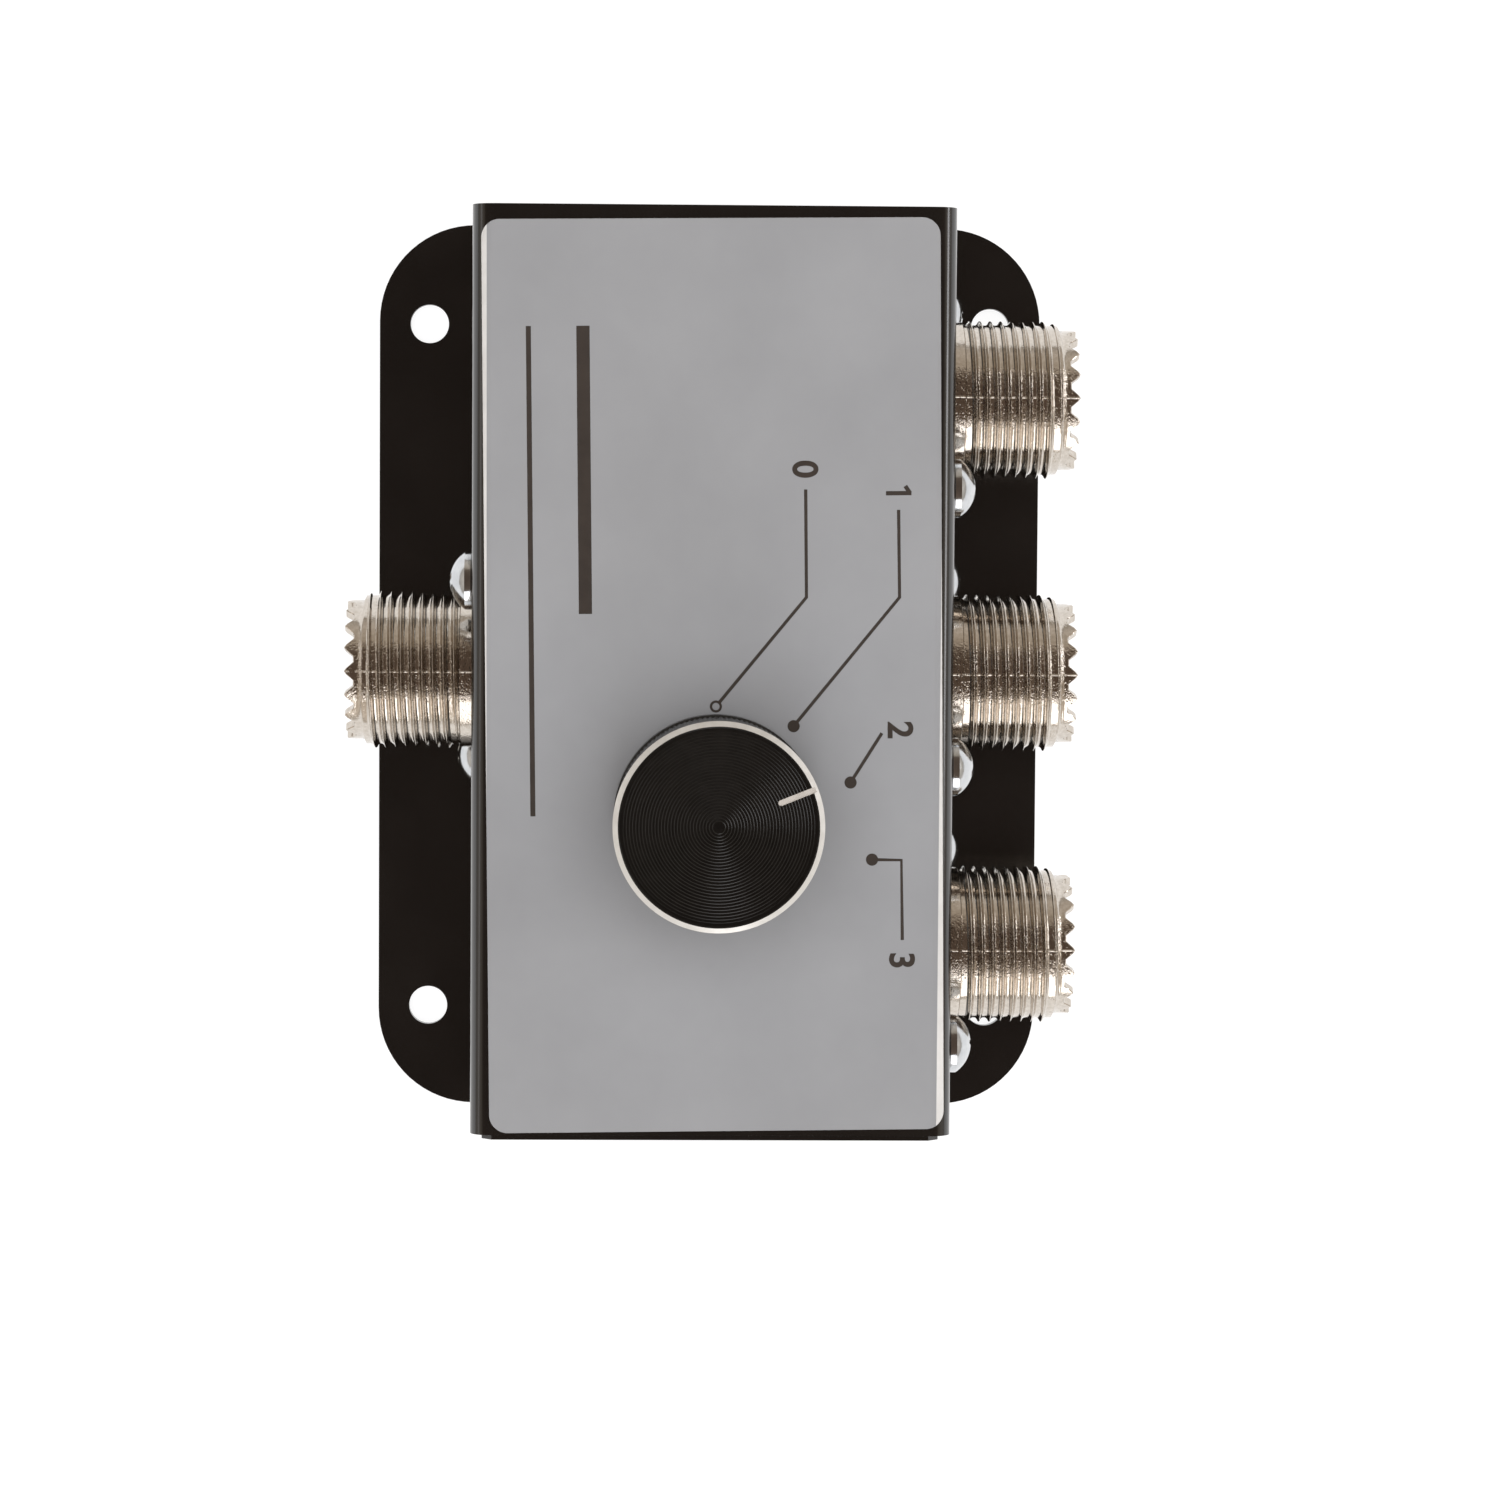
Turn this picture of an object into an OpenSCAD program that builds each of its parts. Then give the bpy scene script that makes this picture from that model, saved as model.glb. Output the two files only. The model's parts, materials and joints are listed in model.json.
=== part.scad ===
// Four-position coaxial antenna switch with one input socket and three output sockets.
// A folded sheet box on an eared base plate holds a rotary switch of the wafer kind.
// +X runs along the box, +Y towards the output sockets, +Z up through the knob.
// The origin is the middle of the base plate's underside.

/* [Base plate] */
// Length of the base plate over its end walls
plate_l = 92; // [88:0.5:120]
// Width of the base plate over both ears
plate_w = 69; // [64:0.5:90]
// Sheet thickness of the base plate
plate_t = 1.2; // [1.2:0.1:2]
// Corner radius of the ears
plate_corner_r = 10; // [2:0.5:12]
// Diameter of the mounting holes in the ears
mount_hole_d = 4; // [3:0.1:5]
// Mounting hole to the end of the base plate
mount_inset_x = 10.3; // [8:0.1:16]
// Mounting hole to the side of the base plate
mount_inset_y = 5.2; // [4:0.1:6]

/* [Cover] */
// Outside width of the cover
case_w = 47.5; // [44:0.5:54]
// Height from the underside of the base plate to the top of the cover
case_h = 30; // [29.8:0.1:38]
// Sheet thickness of the cover
cover_t = 1; // [0.6:0.1:1.2]
// Outside radius of the cover's bends
bend_r = 2; // [1.5:0.1:2.4]
// How much shorter the cover is than the base plate
cover_short = 0.7; // [0.4:0.1:2]
// How far the cover stands from the middle of the base plate, towards its longer free end
cover_back = 0.25; // [0:0.05:0.5]
// Width of the lips folded in along the foot of the cover
lip_w = 9; // [7.5:0.5:10]

/* [Label] */
// Thickness of the label film
label_t = 0.2; // [0.1:0.05:0.4]
// Thickness of the adhesive under the label
adhesive_t = 0.03; // [0.02:0.01:0.1]
// Margin between the label and each end of the cover
label_end_margin = 0.9; // [0.9:0.1:4]
// Margin between the label and each side of the cover
label_side_margin = 1.35; // [1.3:0.05:4]
// Corner radius of the label
label_corner_r = 1.8; // [0.5:0.1:4]
// Angle by which the label was stuck on askew
label_skew = 0.7; // [0:0.1:1]
// Middle of the label, along the box from the middle of the cover
label_along = 0.4; // [-0.5:0.1:0.5]
// Middle of the label, across the box
label_across = 0.1; // [-0.2:0.1:0.2]

/* [Sockets] */
// Distance between neighbouring output sockets
socket_pitch = 27.65; // [26:0.05:29]
// Side of the square flange
flange_w = 25.4; // [24:0.1:25.6]
// Thickness of the flange
flange_t = 1.6; // [1.2:0.1:2.4]
// Distance between neighbouring flange holes
flange_hole_pitch = 18.26; // [17.8:0.02:18.6]
// Crest diameter of the thread
thread_d = 15.875; // [15:0.005:16.2]
// Pitch of the thread
thread_pitch = 1.058; // [0.9:0.002:1.25]
// Number of thread turns
thread_turns = 9; // [6:1:10]
// Diameter of the smooth collar next to the wall
collar_d = 15.6; // [14.6:0.1:15.6]
// Length of the smooth collar outside the wall
collar_l = 1.5; // [1.5:0.1:4]
// Diameter of the neck past the thread
neck_d = 14.05; // [13.8:0.05:14.4]
// Length of the neck below the teeth
neck_l = 1; // [1:0.05:3]
// Number of teeth on the rim
tooth_count = 18; // [12:1:24]
// Depth of the notches between the teeth
tooth_depth = 0.9; // [0.5:0.1:1.4]
// Bore of the shell
shell_bore_d = 12.4; // [11.6:0.1:12.6]
// Bore of the centre contact
contact_bore_d = 4; // [3.6:0.1:4.4]
// Depth of the centre contact's bore
contact_bore_l = 10.5; // [8:0.1:11]
// Outside diameter of the centre contact
contact_d = 5.8; // [5.4:0.1:6.4]

/* [Knob] */
// Place of the knob along the box, from the middle of the cover
knob_along = 14; // [8:0.5:18]
// Place of the knob across the box
knob_across = 0.35; // [-1:0.05:1]
// Diameter of the knob
knob_d = 20; // [19:0.1:26]
// Height of the knob
knob_h = 17; // [15:0.1:22]
// Gap between the knob and the label
knob_gap = 0.9; // [0.5:0.1:2]
// Width of the bright chamfer round the knob's top
knob_ring_w = 0.55; // [0.3:0.05:1]
// Width of the pointer line
pointer_w = 0.55; // [0.4:0.05:1]
// Length of the pointer line, in from the rim
pointer_l = 4; // [2:0.1:5]
// Angle of the pointer from the output side, at the middle output
pointer_angle = 21.8; // [0:0.1:30]

/* [Rotary switch] */
// Diameter of the shaft
shaft_d = 6; // [5.6:0.1:6.2]
// Diameter of the threaded bushing
bushing_d = 9; // [8.6:0.1:10]
// Height of the bushing above the cover
bushing_h = 5.5; // [4.5:0.1:6]
// Width across the flats of the panel nut
panel_nut_af = 12; // [11:0.5:12]
// Diameter of the index plate and of the stator wafer
wafer_d = 27; // [26:0.5:29]
// Thickness of the index plate
index_t = 1.8; // [1.2:0.1:2.4]
// Length of the spacer tubes between index plate and wafer
spacer_l = 11.2; // [10:0.1:13]
// Thickness of the stator wafer
wafer_t = 1.6; // [1.2:0.1:2]
// Thickness of the detent carrier
carrier_t = 4.5; // [4:0.1:5]
// Diameter of the detent balls
ball_d = 3; // [2.4:0.1:3.2]
// Angle of one click
click_angle = 30; // [24:1:30]
// Diameter of the wires
wire_d = 1.2; // [0.8:0.1:1.4]

/* [Hidden] */

$fn = 96;
// How far a cutting body runs past what it cuts
cut_over = 0.4;
// How far two bodies of one piece run into each other
weld_over = 0.3;
// Clearance of a bent or stamped piece beside its neighbour
sheet_gap = 0.15;
// Radial clearance of a piece pushed into its seat
seat_gap = 0.05;
// Radial running clearance of a turning piece
run_gap = 0.04;
// Clearance between faces that slide past each other
slide_gap = 0.05;
// Radial clearance of a screw in its hole
screw_gap = 0.15;
// Clearance between a stop and what it stops
stop_gap = 0.25;

// Base plate and cover
cover_l = plate_l - cover_short;
cover_x = -cover_back;
inner_w = case_w - 2 * cover_t;
inner_top = case_h - cover_t;
lip_top = plate_t + cover_t;
wall_w = inner_w - 2 * sheet_gap;
wall_top = inner_top - sheet_gap;
wall_bend_in_r = 0.5;
wall_bend_r = wall_bend_in_r + plate_t;
wall_clip = bend_r - cover_t;
relief_w = 0.8;
lip_end = plate_l / 2 - plate_t - wall_bend_in_r - 2 * sheet_gap;

// Case screws, countersunk from below
case_screw_d = 3;
case_screw_head_d = 5.6;
case_screw_l = 4;
case_screw_sink = 0.05;
case_screw_to_end = 6;
case_screw_to_lip_edge = 2.25;
case_screw_x = plate_l / 2 - case_screw_to_end;
case_screw_y = inner_w / 2 - lip_w + case_screw_to_lip_edge;
cross_w = 0.8;
cross_l = 2.6;
cross_depth = 0.7;

// Sockets: x places, sides and heights
socket_z = (lip_top + inner_top) / 2;
socket_xs = [0, -socket_pitch, 0, socket_pitch];
socket_sides = [-1, 1, 1, 1];
barrel_l = collar_l + thread_turns * thread_pitch + neck_l + tooth_depth;
flange_edge_chamfer = 0.35;
crest_flat = thread_pitch / 8;
thread_depth = 0.613 * thread_pitch;
barrel_hole_gap = 0.2;
tooth_width_share = 0.92;
counterbore_step = 0.8;
counterbore_d = shell_bore_d + 2 * counterbore_step;
counterbore_l = 1;
insulator_recess = 2;
insulator_boss_d = 8;
insulator_boss_l = 2;
contact_proud = 0.2;
contact_shoulder_back = 0.75;
slot_w = 0.5;
slot_l = 6;
cup_d = 3.2;
cup_l = 5.8;
cup_wall = 0.7;
cup_bore_d = cup_d - 2 * cup_wall;
cup_bore_l = 4;
flange_back = cover_t + flange_t;
shoulder_depth = cover_t + contact_shoulder_back;

// Socket screws, washers and nuts
socket_screw_d = 3;
socket_head_d = 5.8;
socket_head_rim = 0.8;
socket_head_h = 2.3;
socket_cross_l = 3.2;
socket_cross_turn = 25;
washer_t = 0.7;
washer_d = 5.4;
washer_split = 0.6;
nut_af = 5.5;
nut_t = 2.4;
thread_end = 0.6;
socket_shank_l = flange_back + washer_t + nut_t + thread_end;
diagonal = flange_hole_pitch / 2;
screw_places = [[diagonal, -diagonal], [-diagonal, diagonal]];
flange_holes = [for (x = [-1, 1], y = [-1, 1]) [x * diagonal, y * diagonal]];

// Rotary switch, measured from its axis and up from the underside of the base plate
knob_x = cover_x + knob_along;
knob_y = knob_across;
index_under = inner_top - index_t;
bushing_top = case_h + bushing_h;
lug_d = 2.4;
lug_inset = 4;
lug_r = wafer_d / 2 - lug_inset;
shaft_r = shaft_d / 2;
flat_depth = 0.75;
flat_r = shaft_r - flat_depth;
panel_washer_t = 0.5;
panel_washer_margin = 0.7;
panel_washer_d = panel_nut_af + 2 * panel_washer_margin;
panel_nut_t = 2;
label_hole_d = panel_washer_d + 2 * screw_gap;
clip_t = 0.6;
clip_groove_depth = 0.5;
clip_ring_w = 1.8;
clip_d = shaft_d + 2 * clip_ring_w;
clip_mouth_share = 0.7;
clip_mouth_w = shaft_d * clip_mouth_share;
upper_clip_z = bushing_top + slide_gap;
ball_r = ball_d / 2;
pocket_wall = 1.71;
pocket_rim = 0.65;
pocket_r = ball_r + seat_gap;
pocket_floor = 0.5;
ball_circle_r = shaft_r + pocket_wall + pocket_r;
carrier_gap = 1;
carrier_r = ball_circle_r + pocket_r + pocket_rim;
carrier_top = index_under - carrier_gap;
carrier_bottom = carrier_top - carrier_t;
lower_clip_z = carrier_bottom - slide_gap - clip_t;
spacer_d = 4.5;
post_ear_rim = 0.15;
post_ear_r = spacer_d / 2 + post_ear_rim;
post_circle_r = carrier_r + run_gap + stop_gap + spacer_d / 2;
tie_screw_d = 2.5;
tie_head_d = 4.4;
tie_head_h = 1.6;
post_angles = [30, 210];
ball_z = index_under - slide_gap - ball_r;
ball_angles = [105, 285];
dimple_d = 1.8;
dimple_depth = 0.5;
spring_wire_d = 0.3;
spring_side_gap = 0.5;
spring_r = pocket_r - spring_side_gap - spring_wire_d / 2;
spring_turns = 4;
spring_sides = 6;
spring_steps = 12;
lobe_angle = 285;
lobe_half = 8;
stop_pin_d = 2;
stop_circle_r = carrier_r + stop_gap + stop_pin_d / 2;
lobe_r = stop_circle_r + stop_pin_d / 2;
stop_pin_half = asin(stop_pin_d / 2 / stop_circle_r);
stop_slack = 1.5;
stop_pin_share = 0.6;
stop_pin_l = carrier_gap + carrier_t * stop_pin_share;
clicks_down = 1;
clicks_up = 2;

// Wafer, contacts and rotor
wafer_top = index_under - spacer_l;
wafer_bottom = wafer_top - wafer_t;
rotor_gap = 0.2;
rotor_ring_w = 3;
rotor_d = shaft_d + 2 * rotor_ring_w;
rotor_proud = 0.1;
rotor_top = wafer_top + rotor_proud;
rotor_t = wafer_t + 2 * rotor_proud;
blade_t = 0.3;
blade_top = rotor_top + blade_t;
blade_hole_gap = 0.3;
blade_hole_d = shaft_d + 2 * blade_hole_gap;
ring_margin = 0.4;
ring_d = rotor_d - 2 * ring_margin;
tongue_w = 2;
tongue_l = 1.6;
tongue_r = rotor_d / 2 + tongue_l;
rest_angle = 120;
common_angle = 240;
output_angles = [for (k = [-clicks_down : clicks_up]) rest_angle + k * click_angle];
jaw_t = 0.4;
jaw_under = blade_top + slide_gap;
jaw_top = jaw_under + jaw_t;
contact_w = 2.4;
contact_foot_l = 4;
contact_overhang = 1.5;
tongue_room = 0.6;
tongue_lap = 1;
ring_lap = 0.8;
foot_in_r = tongue_r + tongue_room;
foot_out_r = foot_in_r + contact_foot_l;
contact_end_r = wafer_d / 2 + contact_overhang;
output_tip_r = tongue_r - tongue_lap;
common_tip_r = ring_d / 2 - ring_lap;
rivet_r = (foot_in_r + foot_out_r) / 2;
rivet_d = 1.6;
rivet_head_d = 2.6;
rivet_head_t = 0.3;
blade_rivet_d = 1;
blade_rivet_circle_r = (blade_hole_d + ring_d) / 4;
blade_rivet_head_d = 1.8;
shaft_overhang = 1.5;
shaft_bottom = wafer_bottom - shaft_overhang;
flat_start = 0.4;
lower_flat_top = carrier_top - flat_start;

// Knob
knob_bottom = case_h + adhesive_t + label_t + knob_gap;
knob_top = knob_bottom + knob_h;
knob_roof = 3;
shaft_end_gap = 0.4;
shaft_top = knob_top - knob_roof - shaft_end_gap;
nut_room = 1;
knob_recess_d = panel_nut_af / cos(30) + 2 * nut_room;
clip_room = 0.9;
knob_recess_top = bushing_top + clip_t + clip_room;
upper_flat_bottom = knob_recess_top + flat_start;
grip_sink = 0.15;
grip_d = knob_d - 2 * grip_sink;
foot_band_h = 2.4;
grip_bottom = knob_bottom + foot_band_h;
head_band_h = 2.2;
grip_top = knob_top - head_band_h;
knob_foot_chamfer = 0.3;
knob_face_sink = 0.15;
pointer_depth = 0.3;
set_screw_d = 3;
set_screw_l = 5;
set_screw_z = (knob_recess_top + shaft_top) / 2;
hex_key_af = 1.5;
hex_key_depth = 1.6;
pointer_turn = 90 + pointer_angle;

// Wires
wire_r = wire_d / 2;
wire_in_cup = 2;
wire_out_of_cup = 1.2;
wire_on_lug = 1.9;
wire_pull_share = 0.3;
wire_lift_share = 0.15;
wire_turn_share = 0.15;
wire_sides = 10;
wire_steps = 16;

module rounded_square(w, h, r) {
  square([w - 2 * r, h], center = true);
  square([w, h - 2 * r], center = true);
  for (x = [-1, 1], y = [-1, 1])
    translate([x * (w / 2 - r), y * (h / 2 - r)])
      circle(r);
}

// Outline of the cover's section, taken in by inset, in the Y-Z plane
module case_section(inset) {
  translate([0, (plate_t + case_h) / 2])
    rounded_square(case_w - 2 * inset, case_h - plate_t - 2 * inset, bend_r - inset);
}

// Runs a Y-Z section along X, centred on x
module along_x(length, x) {
  translate([x - length / 2, 0, 0])
    rotate([90, 0, 90])
      linear_extrude(length)
        children();
}

// Puts a socket's own frame on the wall: its +Z runs out of the box, and 0 is the cover's outside
module at_socket(i) {
  translate([socket_xs[i], socket_sides[i] * case_w / 2, socket_z])
    rotate([-90 * socket_sides[i], 0, 0])
      children();
}

module at_switch(z = 0) {
  translate([knob_x, knob_y, z])
    children();
}

module at_case_screws() {
  for (x = [-1, 1], y = [-1, 1])
    translate([x * case_screw_x, y * case_screw_y, 0])
      children();
}

module cross_recess(l, w, depth) {
  for (turn = [0, 90])
    rotate([0, 0, turn])
      translate([-l / 2, -w / 2, -depth])
        cube([l, w, depth + cut_over]);
}

// One end wall with its bend, standing across the end of the base plate
module end_wall() {
  rotate([90, 0, 0])
    translate([0, 0, -wall_w / 2])
      linear_extrude(wall_w) {
        translate([plate_l / 2 - wall_bend_r, wall_bend_r])
          intersection() {
            difference() {
              circle(wall_bend_r);
              circle(wall_bend_in_r);
            }
            translate([0, -wall_bend_r])
              square(wall_bend_r);
          }
        translate([plate_l / 2 - plate_t, wall_bend_r - weld_over / 2])
          square([plate_t, wall_top - wall_bend_r - wall_clip]);
        translate([plate_l / 2 - wall_bend_r - weld_over, 0])
          square([weld_over + weld_over / 2, plate_t]);
      }
  top_strip_z = wall_top - wall_clip - weld_over;
  translate([plate_l / 2 - plate_t, 0, top_strip_z])
    rotate([90, 0, 90])
      linear_extrude(plate_t)
        polygon([
          [-wall_w / 2, -weld_over],
          [wall_w / 2, -weld_over],
          [wall_w / 2, weld_over],
          [wall_w / 2 - wall_clip, weld_over + wall_clip],
          [-wall_w / 2 + wall_clip, weld_over + wall_clip],
          [-wall_w / 2, weld_over]
        ]);
}

module base_plate() {
  color([0.09, 0.085, 0.08])
    difference() {
      union() {
        difference() {
          linear_extrude(plate_t)
            rounded_square(plate_l, plate_w, plate_corner_r);
          for (side = [-1, 1])
            translate([
              side * (plate_l / 2 - wall_bend_r / 2 + cut_over / 2) - (wall_bend_r + cut_over) / 2,
              -wall_w / 2 - relief_w,
              -cut_over
            ])
              cube([wall_bend_r + cut_over, wall_w + 2 * relief_w, plate_t + 2 * cut_over]);
        }
        end_wall();
        mirror([1, 0, 0])
          end_wall();
      }
      for (x = [-1, 1], y = [-1, 1])
        translate([x * (plate_l / 2 - mount_inset_x), y * (plate_w / 2 - mount_inset_y), -cut_over])
          cylinder(h = plate_t + 2 * cut_over, d = mount_hole_d);
      at_case_screws() {
        sink_h = (case_screw_head_d - case_screw_d) / 2 - screw_gap;
        cylinder(h = sink_h, r1 = case_screw_head_d / 2, r2 = case_screw_head_d / 2 - sink_h);
        translate([0, 0, -cut_over])
          cylinder(h = plate_t + 2 * cut_over, d = case_screw_d + 2 * screw_gap);
      }
    }
}

module cover() {
  color([0.13, 0.125, 0.12])
    difference() {
      along_x(cover_l, cover_x)
        difference() {
          case_section(0);
          case_section(cover_t);
          translate([-inner_w / 2 + lip_w, plate_t - cut_over])
            square([inner_w - 2 * lip_w, cover_t + 2 * cut_over]);
        }
      for (side = [-1, 1])
        translate([side * (lip_end + plate_l / 4) - plate_l / 4, -inner_w / 2, plate_t - cut_over])
          cube([plate_l / 2, inner_w, bend_r + cut_over]);
      for (i = [0 : 3])
        at_socket(i) {
          translate([0, 0, -cover_t - cut_over])
            cylinder(h = cover_t + 2 * cut_over, d = thread_d + 2 * barrel_hole_gap);
          for (place = screw_places)
            translate([place[0], place[1], -cover_t - cut_over])
              cylinder(h = cover_t + 2 * cut_over, d = socket_screw_d + 2 * screw_gap);
        }
      at_switch(inner_top - cut_over) {
        cylinder(h = cover_t + 2 * cut_over, d = bushing_d + 2 * screw_gap);
        translate([0, lug_r, 0])
          cylinder(h = cover_t + 2 * cut_over, d = lug_d + 2 * screw_gap);
      }
      at_case_screws()
        translate([0, 0, plate_t - cut_over])
          cylinder(h = cover_t + 2 * cut_over, d = case_screw_d + 2 * seat_gap);
    }
}

module label_film() {
  label_l = cover_l - 2 * label_end_margin;
  label_w = case_w - 2 * label_side_margin;
  color([0.62, 0.62, 0.62])
    difference() {
      intersection() {
        along_x(cover_l, cover_x)
          difference() {
            case_section(-adhesive_t - label_t);
            case_section(-adhesive_t);
          }
        translate([cover_x + label_along, label_across, case_h - bend_r])
          rotate([0, 0, label_skew])
            linear_extrude(bend_r + label_t + adhesive_t + cut_over)
              rounded_square(label_l, label_w, label_corner_r);
      }
      at_switch(case_h - cut_over)
        cylinder(h = label_t + adhesive_t + 2 * cut_over, d = label_hole_d);
    }
}

module case_screws() {
  cone_h = (case_screw_head_d - case_screw_d) / 2 - seat_gap;
  cone_r = case_screw_head_d / 2 - case_screw_sink - seat_gap;
  color([0.2, 0.2, 0.2])
    at_case_screws()
      difference() {
        union() {
          translate([0, 0, case_screw_sink])
            cylinder(h = cone_h, r1 = cone_r, r2 = cone_r - cone_h);
          translate([0, 0, case_screw_sink])
            cylinder(h = case_screw_l, r = cone_r - cone_h);
        }
        translate([0, 0, case_screw_sink])
          mirror([0, 0, 1])
            cross_recess(cross_l, cross_w, cross_depth);
      }
}

// Half section of the barrel with its thread drawn as ring grooves
function thread_points() = [
  for (k = [0 : thread_turns - 1])
    let (z = collar_l + k * thread_pitch, root = thread_d / 2 - thread_depth)
      each [
        [thread_d / 2, z + crest_flat / 2],
        [root, z + thread_pitch / 2 - crest_flat / 2],
        [root, z + thread_pitch / 2 + crest_flat / 2],
        [thread_d / 2, z + thread_pitch - crest_flat / 2]
      ]
];

module socket_shell() {
  thread_end_z = collar_l + thread_turns * thread_pitch;
  run_out = (thread_d - neck_d) / 2;
  difference() {
    union() {
      translate([0, 0, -flange_back])
        linear_extrude(flange_t - flange_edge_chamfer)
          square(flange_w, center = true);
      translate([0, 0, -flange_back + flange_t - flange_edge_chamfer - weld_over])
        linear_extrude(flange_edge_chamfer + weld_over)
          square(flange_w - 2 * flange_edge_chamfer - 2 * seat_gap, center = true);
      rotate_extrude()
        polygon(concat(
          [[0, -flange_back + flange_t / 2], [collar_d / 2, -flange_back + flange_t / 2]],
          [[collar_d / 2, collar_l]],
          thread_points(),
          [[thread_d / 2, thread_end_z], [neck_d / 2, thread_end_z + run_out / 2]],
          [[neck_d / 2, barrel_l], [0, barrel_l]]
        ));
    }
    translate([0, 0, -flange_back - cut_over])
      cylinder(h = barrel_l + flange_back + 2 * cut_over, d = shell_bore_d);
    translate([0, 0, -flange_back - cut_over])
      cylinder(h = counterbore_l + cut_over, d = counterbore_d);
    for (hole = flange_holes)
      translate([hole[0], hole[1], -flange_back - cut_over])
        cylinder(h = flange_t + 2 * cut_over, d = socket_screw_d + 2 * screw_gap);
    tooth_w = PI * neck_d / tooth_count * tooth_width_share;
    slant = tooth_w * cut_over / tooth_depth / 2;
    for (k = [0 : tooth_count - 1])
      rotate([0, 0, k * 360 / tooth_count])
        translate([shell_bore_d / 2 - cut_over, 0, barrel_l])
          rotate([90, 0, 90])
            linear_extrude((neck_d - shell_bore_d) / 2 + 2 * cut_over)
              polygon([
                [-tooth_w / 2 - slant, cut_over],
                [0, -tooth_depth],
                [tooth_w / 2 + slant, cut_over]
              ]);
  }
}

module socket_insulator() {
  front = barrel_l - insulator_recess;
  difference() {
    union() {
      translate([0, 0, -flange_back + seat_gap])
        cylinder(h = front + flange_back - seat_gap, d = shell_bore_d - 2 * seat_gap);
      translate([0, 0, -flange_back])
        cylinder(h = counterbore_l - seat_gap, d = counterbore_d - 2 * seat_gap);
      translate([0, 0, -flange_back - insulator_boss_l])
        cylinder(h = insulator_boss_l + weld_over, d = insulator_boss_d);
    }
    translate([0, 0, -shoulder_depth])
      cylinder(h = front + shoulder_depth + cut_over, d = contact_d + 2 * seat_gap);
    translate([0, 0, -flange_back - insulator_boss_l - cut_over])
      cylinder(h = front + flange_back, d = cup_d + 2 * seat_gap);
  }
}

module socket_contact() {
  front = barrel_l - insulator_recess + contact_proud;
  back = -flange_back - insulator_boss_l - cup_l;
  difference() {
    union() {
      translate([0, 0, -shoulder_depth + seat_gap])
        cylinder(h = front + shoulder_depth - seat_gap, d = contact_d);
      translate([0, 0, back])
        cylinder(h = -back, d = cup_d);
    }
    translate([0, 0, front - contact_bore_l])
      cylinder(h = contact_bore_l + cut_over, d = contact_bore_d);
    for (turn = [0, 90])
      rotate([0, 0, turn + 45])
        translate([-contact_d / 2 - cut_over, -slot_w / 2, front - slot_l])
          cube([contact_d + 2 * cut_over, slot_w, slot_l + cut_over]);
    translate([0, 0, back - cut_over])
      cylinder(h = cup_bore_l + cut_over, d = cup_bore_d);
  }
}

module nickel_shell(i) {
  color([0.78, 0.74, 0.68])
    at_socket(i)
      socket_shell();
}

module white_insulator(i) {
  color([0.93, 0.92, 0.88])
    at_socket(i)
      socket_insulator();
}

module gold_contact(i) {
  color([0.85, 0.68, 0.32])
    at_socket(i)
      socket_contact();
}

module input_socket_shell() { nickel_shell(0); }
module output_1_socket_shell() { nickel_shell(1); }
module output_2_socket_shell() { nickel_shell(2); }
module output_3_socket_shell() { nickel_shell(3); }
module input_socket_insulator() { white_insulator(0); }
module output_1_socket_insulator() { white_insulator(1); }
module output_2_socket_insulator() { white_insulator(2); }
module output_3_socket_insulator() { white_insulator(3); }
module input_socket_contact() { gold_contact(0); }
module output_1_socket_contact() { gold_contact(1); }
module output_2_socket_contact() { gold_contact(2); }
module output_3_socket_contact() { gold_contact(3); }

module at_socket_screws() {
  for (i = [0 : 3])
    at_socket(i)
      for (place = screw_places)
        translate([place[0], place[1], 0])
          children();
}

// Low dome on a short rim, its flat side at 0
module pan_head(d, rim, h) {
  cap = h - rim;
  dome_r = (d * d / 4 + cap * cap) / (2 * cap);
  cylinder(h = rim, d = d);
  intersection() {
    translate([0, 0, h - dome_r])
      sphere(dome_r);
    translate([0, 0, rim - weld_over])
      cylinder(h = cap + weld_over + cut_over, d = d);
  }
}

module socket_screws() {
  color([0.86, 0.86, 0.86])
    at_socket_screws()
      difference() {
        union() {
          pan_head(socket_head_d, socket_head_rim, socket_head_h);
          translate([0, 0, -socket_shank_l])
            cylinder(h = socket_shank_l + weld_over, d = socket_screw_d - 2 * seat_gap);
        }
        translate([0, 0, socket_head_h])
          rotate([0, 0, socket_cross_turn])
            cross_recess(socket_cross_l, cross_w, socket_head_h - socket_head_rim);
      }
}

module socket_lock_washers() {
  color([0.8, 0.8, 0.8])
    at_socket_screws()
      translate([0, 0, -flange_back - washer_t])
        difference() {
          cylinder(h = washer_t, d = washer_d);
          translate([0, 0, -cut_over])
            cylinder(h = washer_t + 2 * cut_over, d = socket_screw_d + 2 * seat_gap);
          translate([0, -washer_split / 2, -cut_over])
            cube([washer_d, washer_split, washer_t + 2 * cut_over]);
        }
}

module hex_nut(af, bore_d, t) {
  difference() {
    cylinder(h = t, d = af / cos(30), $fn = 6);
    translate([0, 0, -cut_over])
      cylinder(h = t + 2 * cut_over, d = bore_d);
  }
}

module socket_nuts() {
  color([0.8, 0.8, 0.8])
    at_socket_screws()
      translate([0, 0, -flange_back - washer_t - nut_t])
        hex_nut(nut_af, socket_screw_d + 2 * seat_gap, nut_t);
}

module at_posts() {
  for (a = post_angles)
    rotate([0, 0, a])
      translate([post_circle_r, 0, 0])
        children();
}

// Disc of the wafer's diameter, with ears where it doesn't reach round the posts
module eared_disc(t) {
  cylinder(h = t, d = wafer_d);
  at_posts()
    cylinder(h = t, r = post_ear_r);
}

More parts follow.
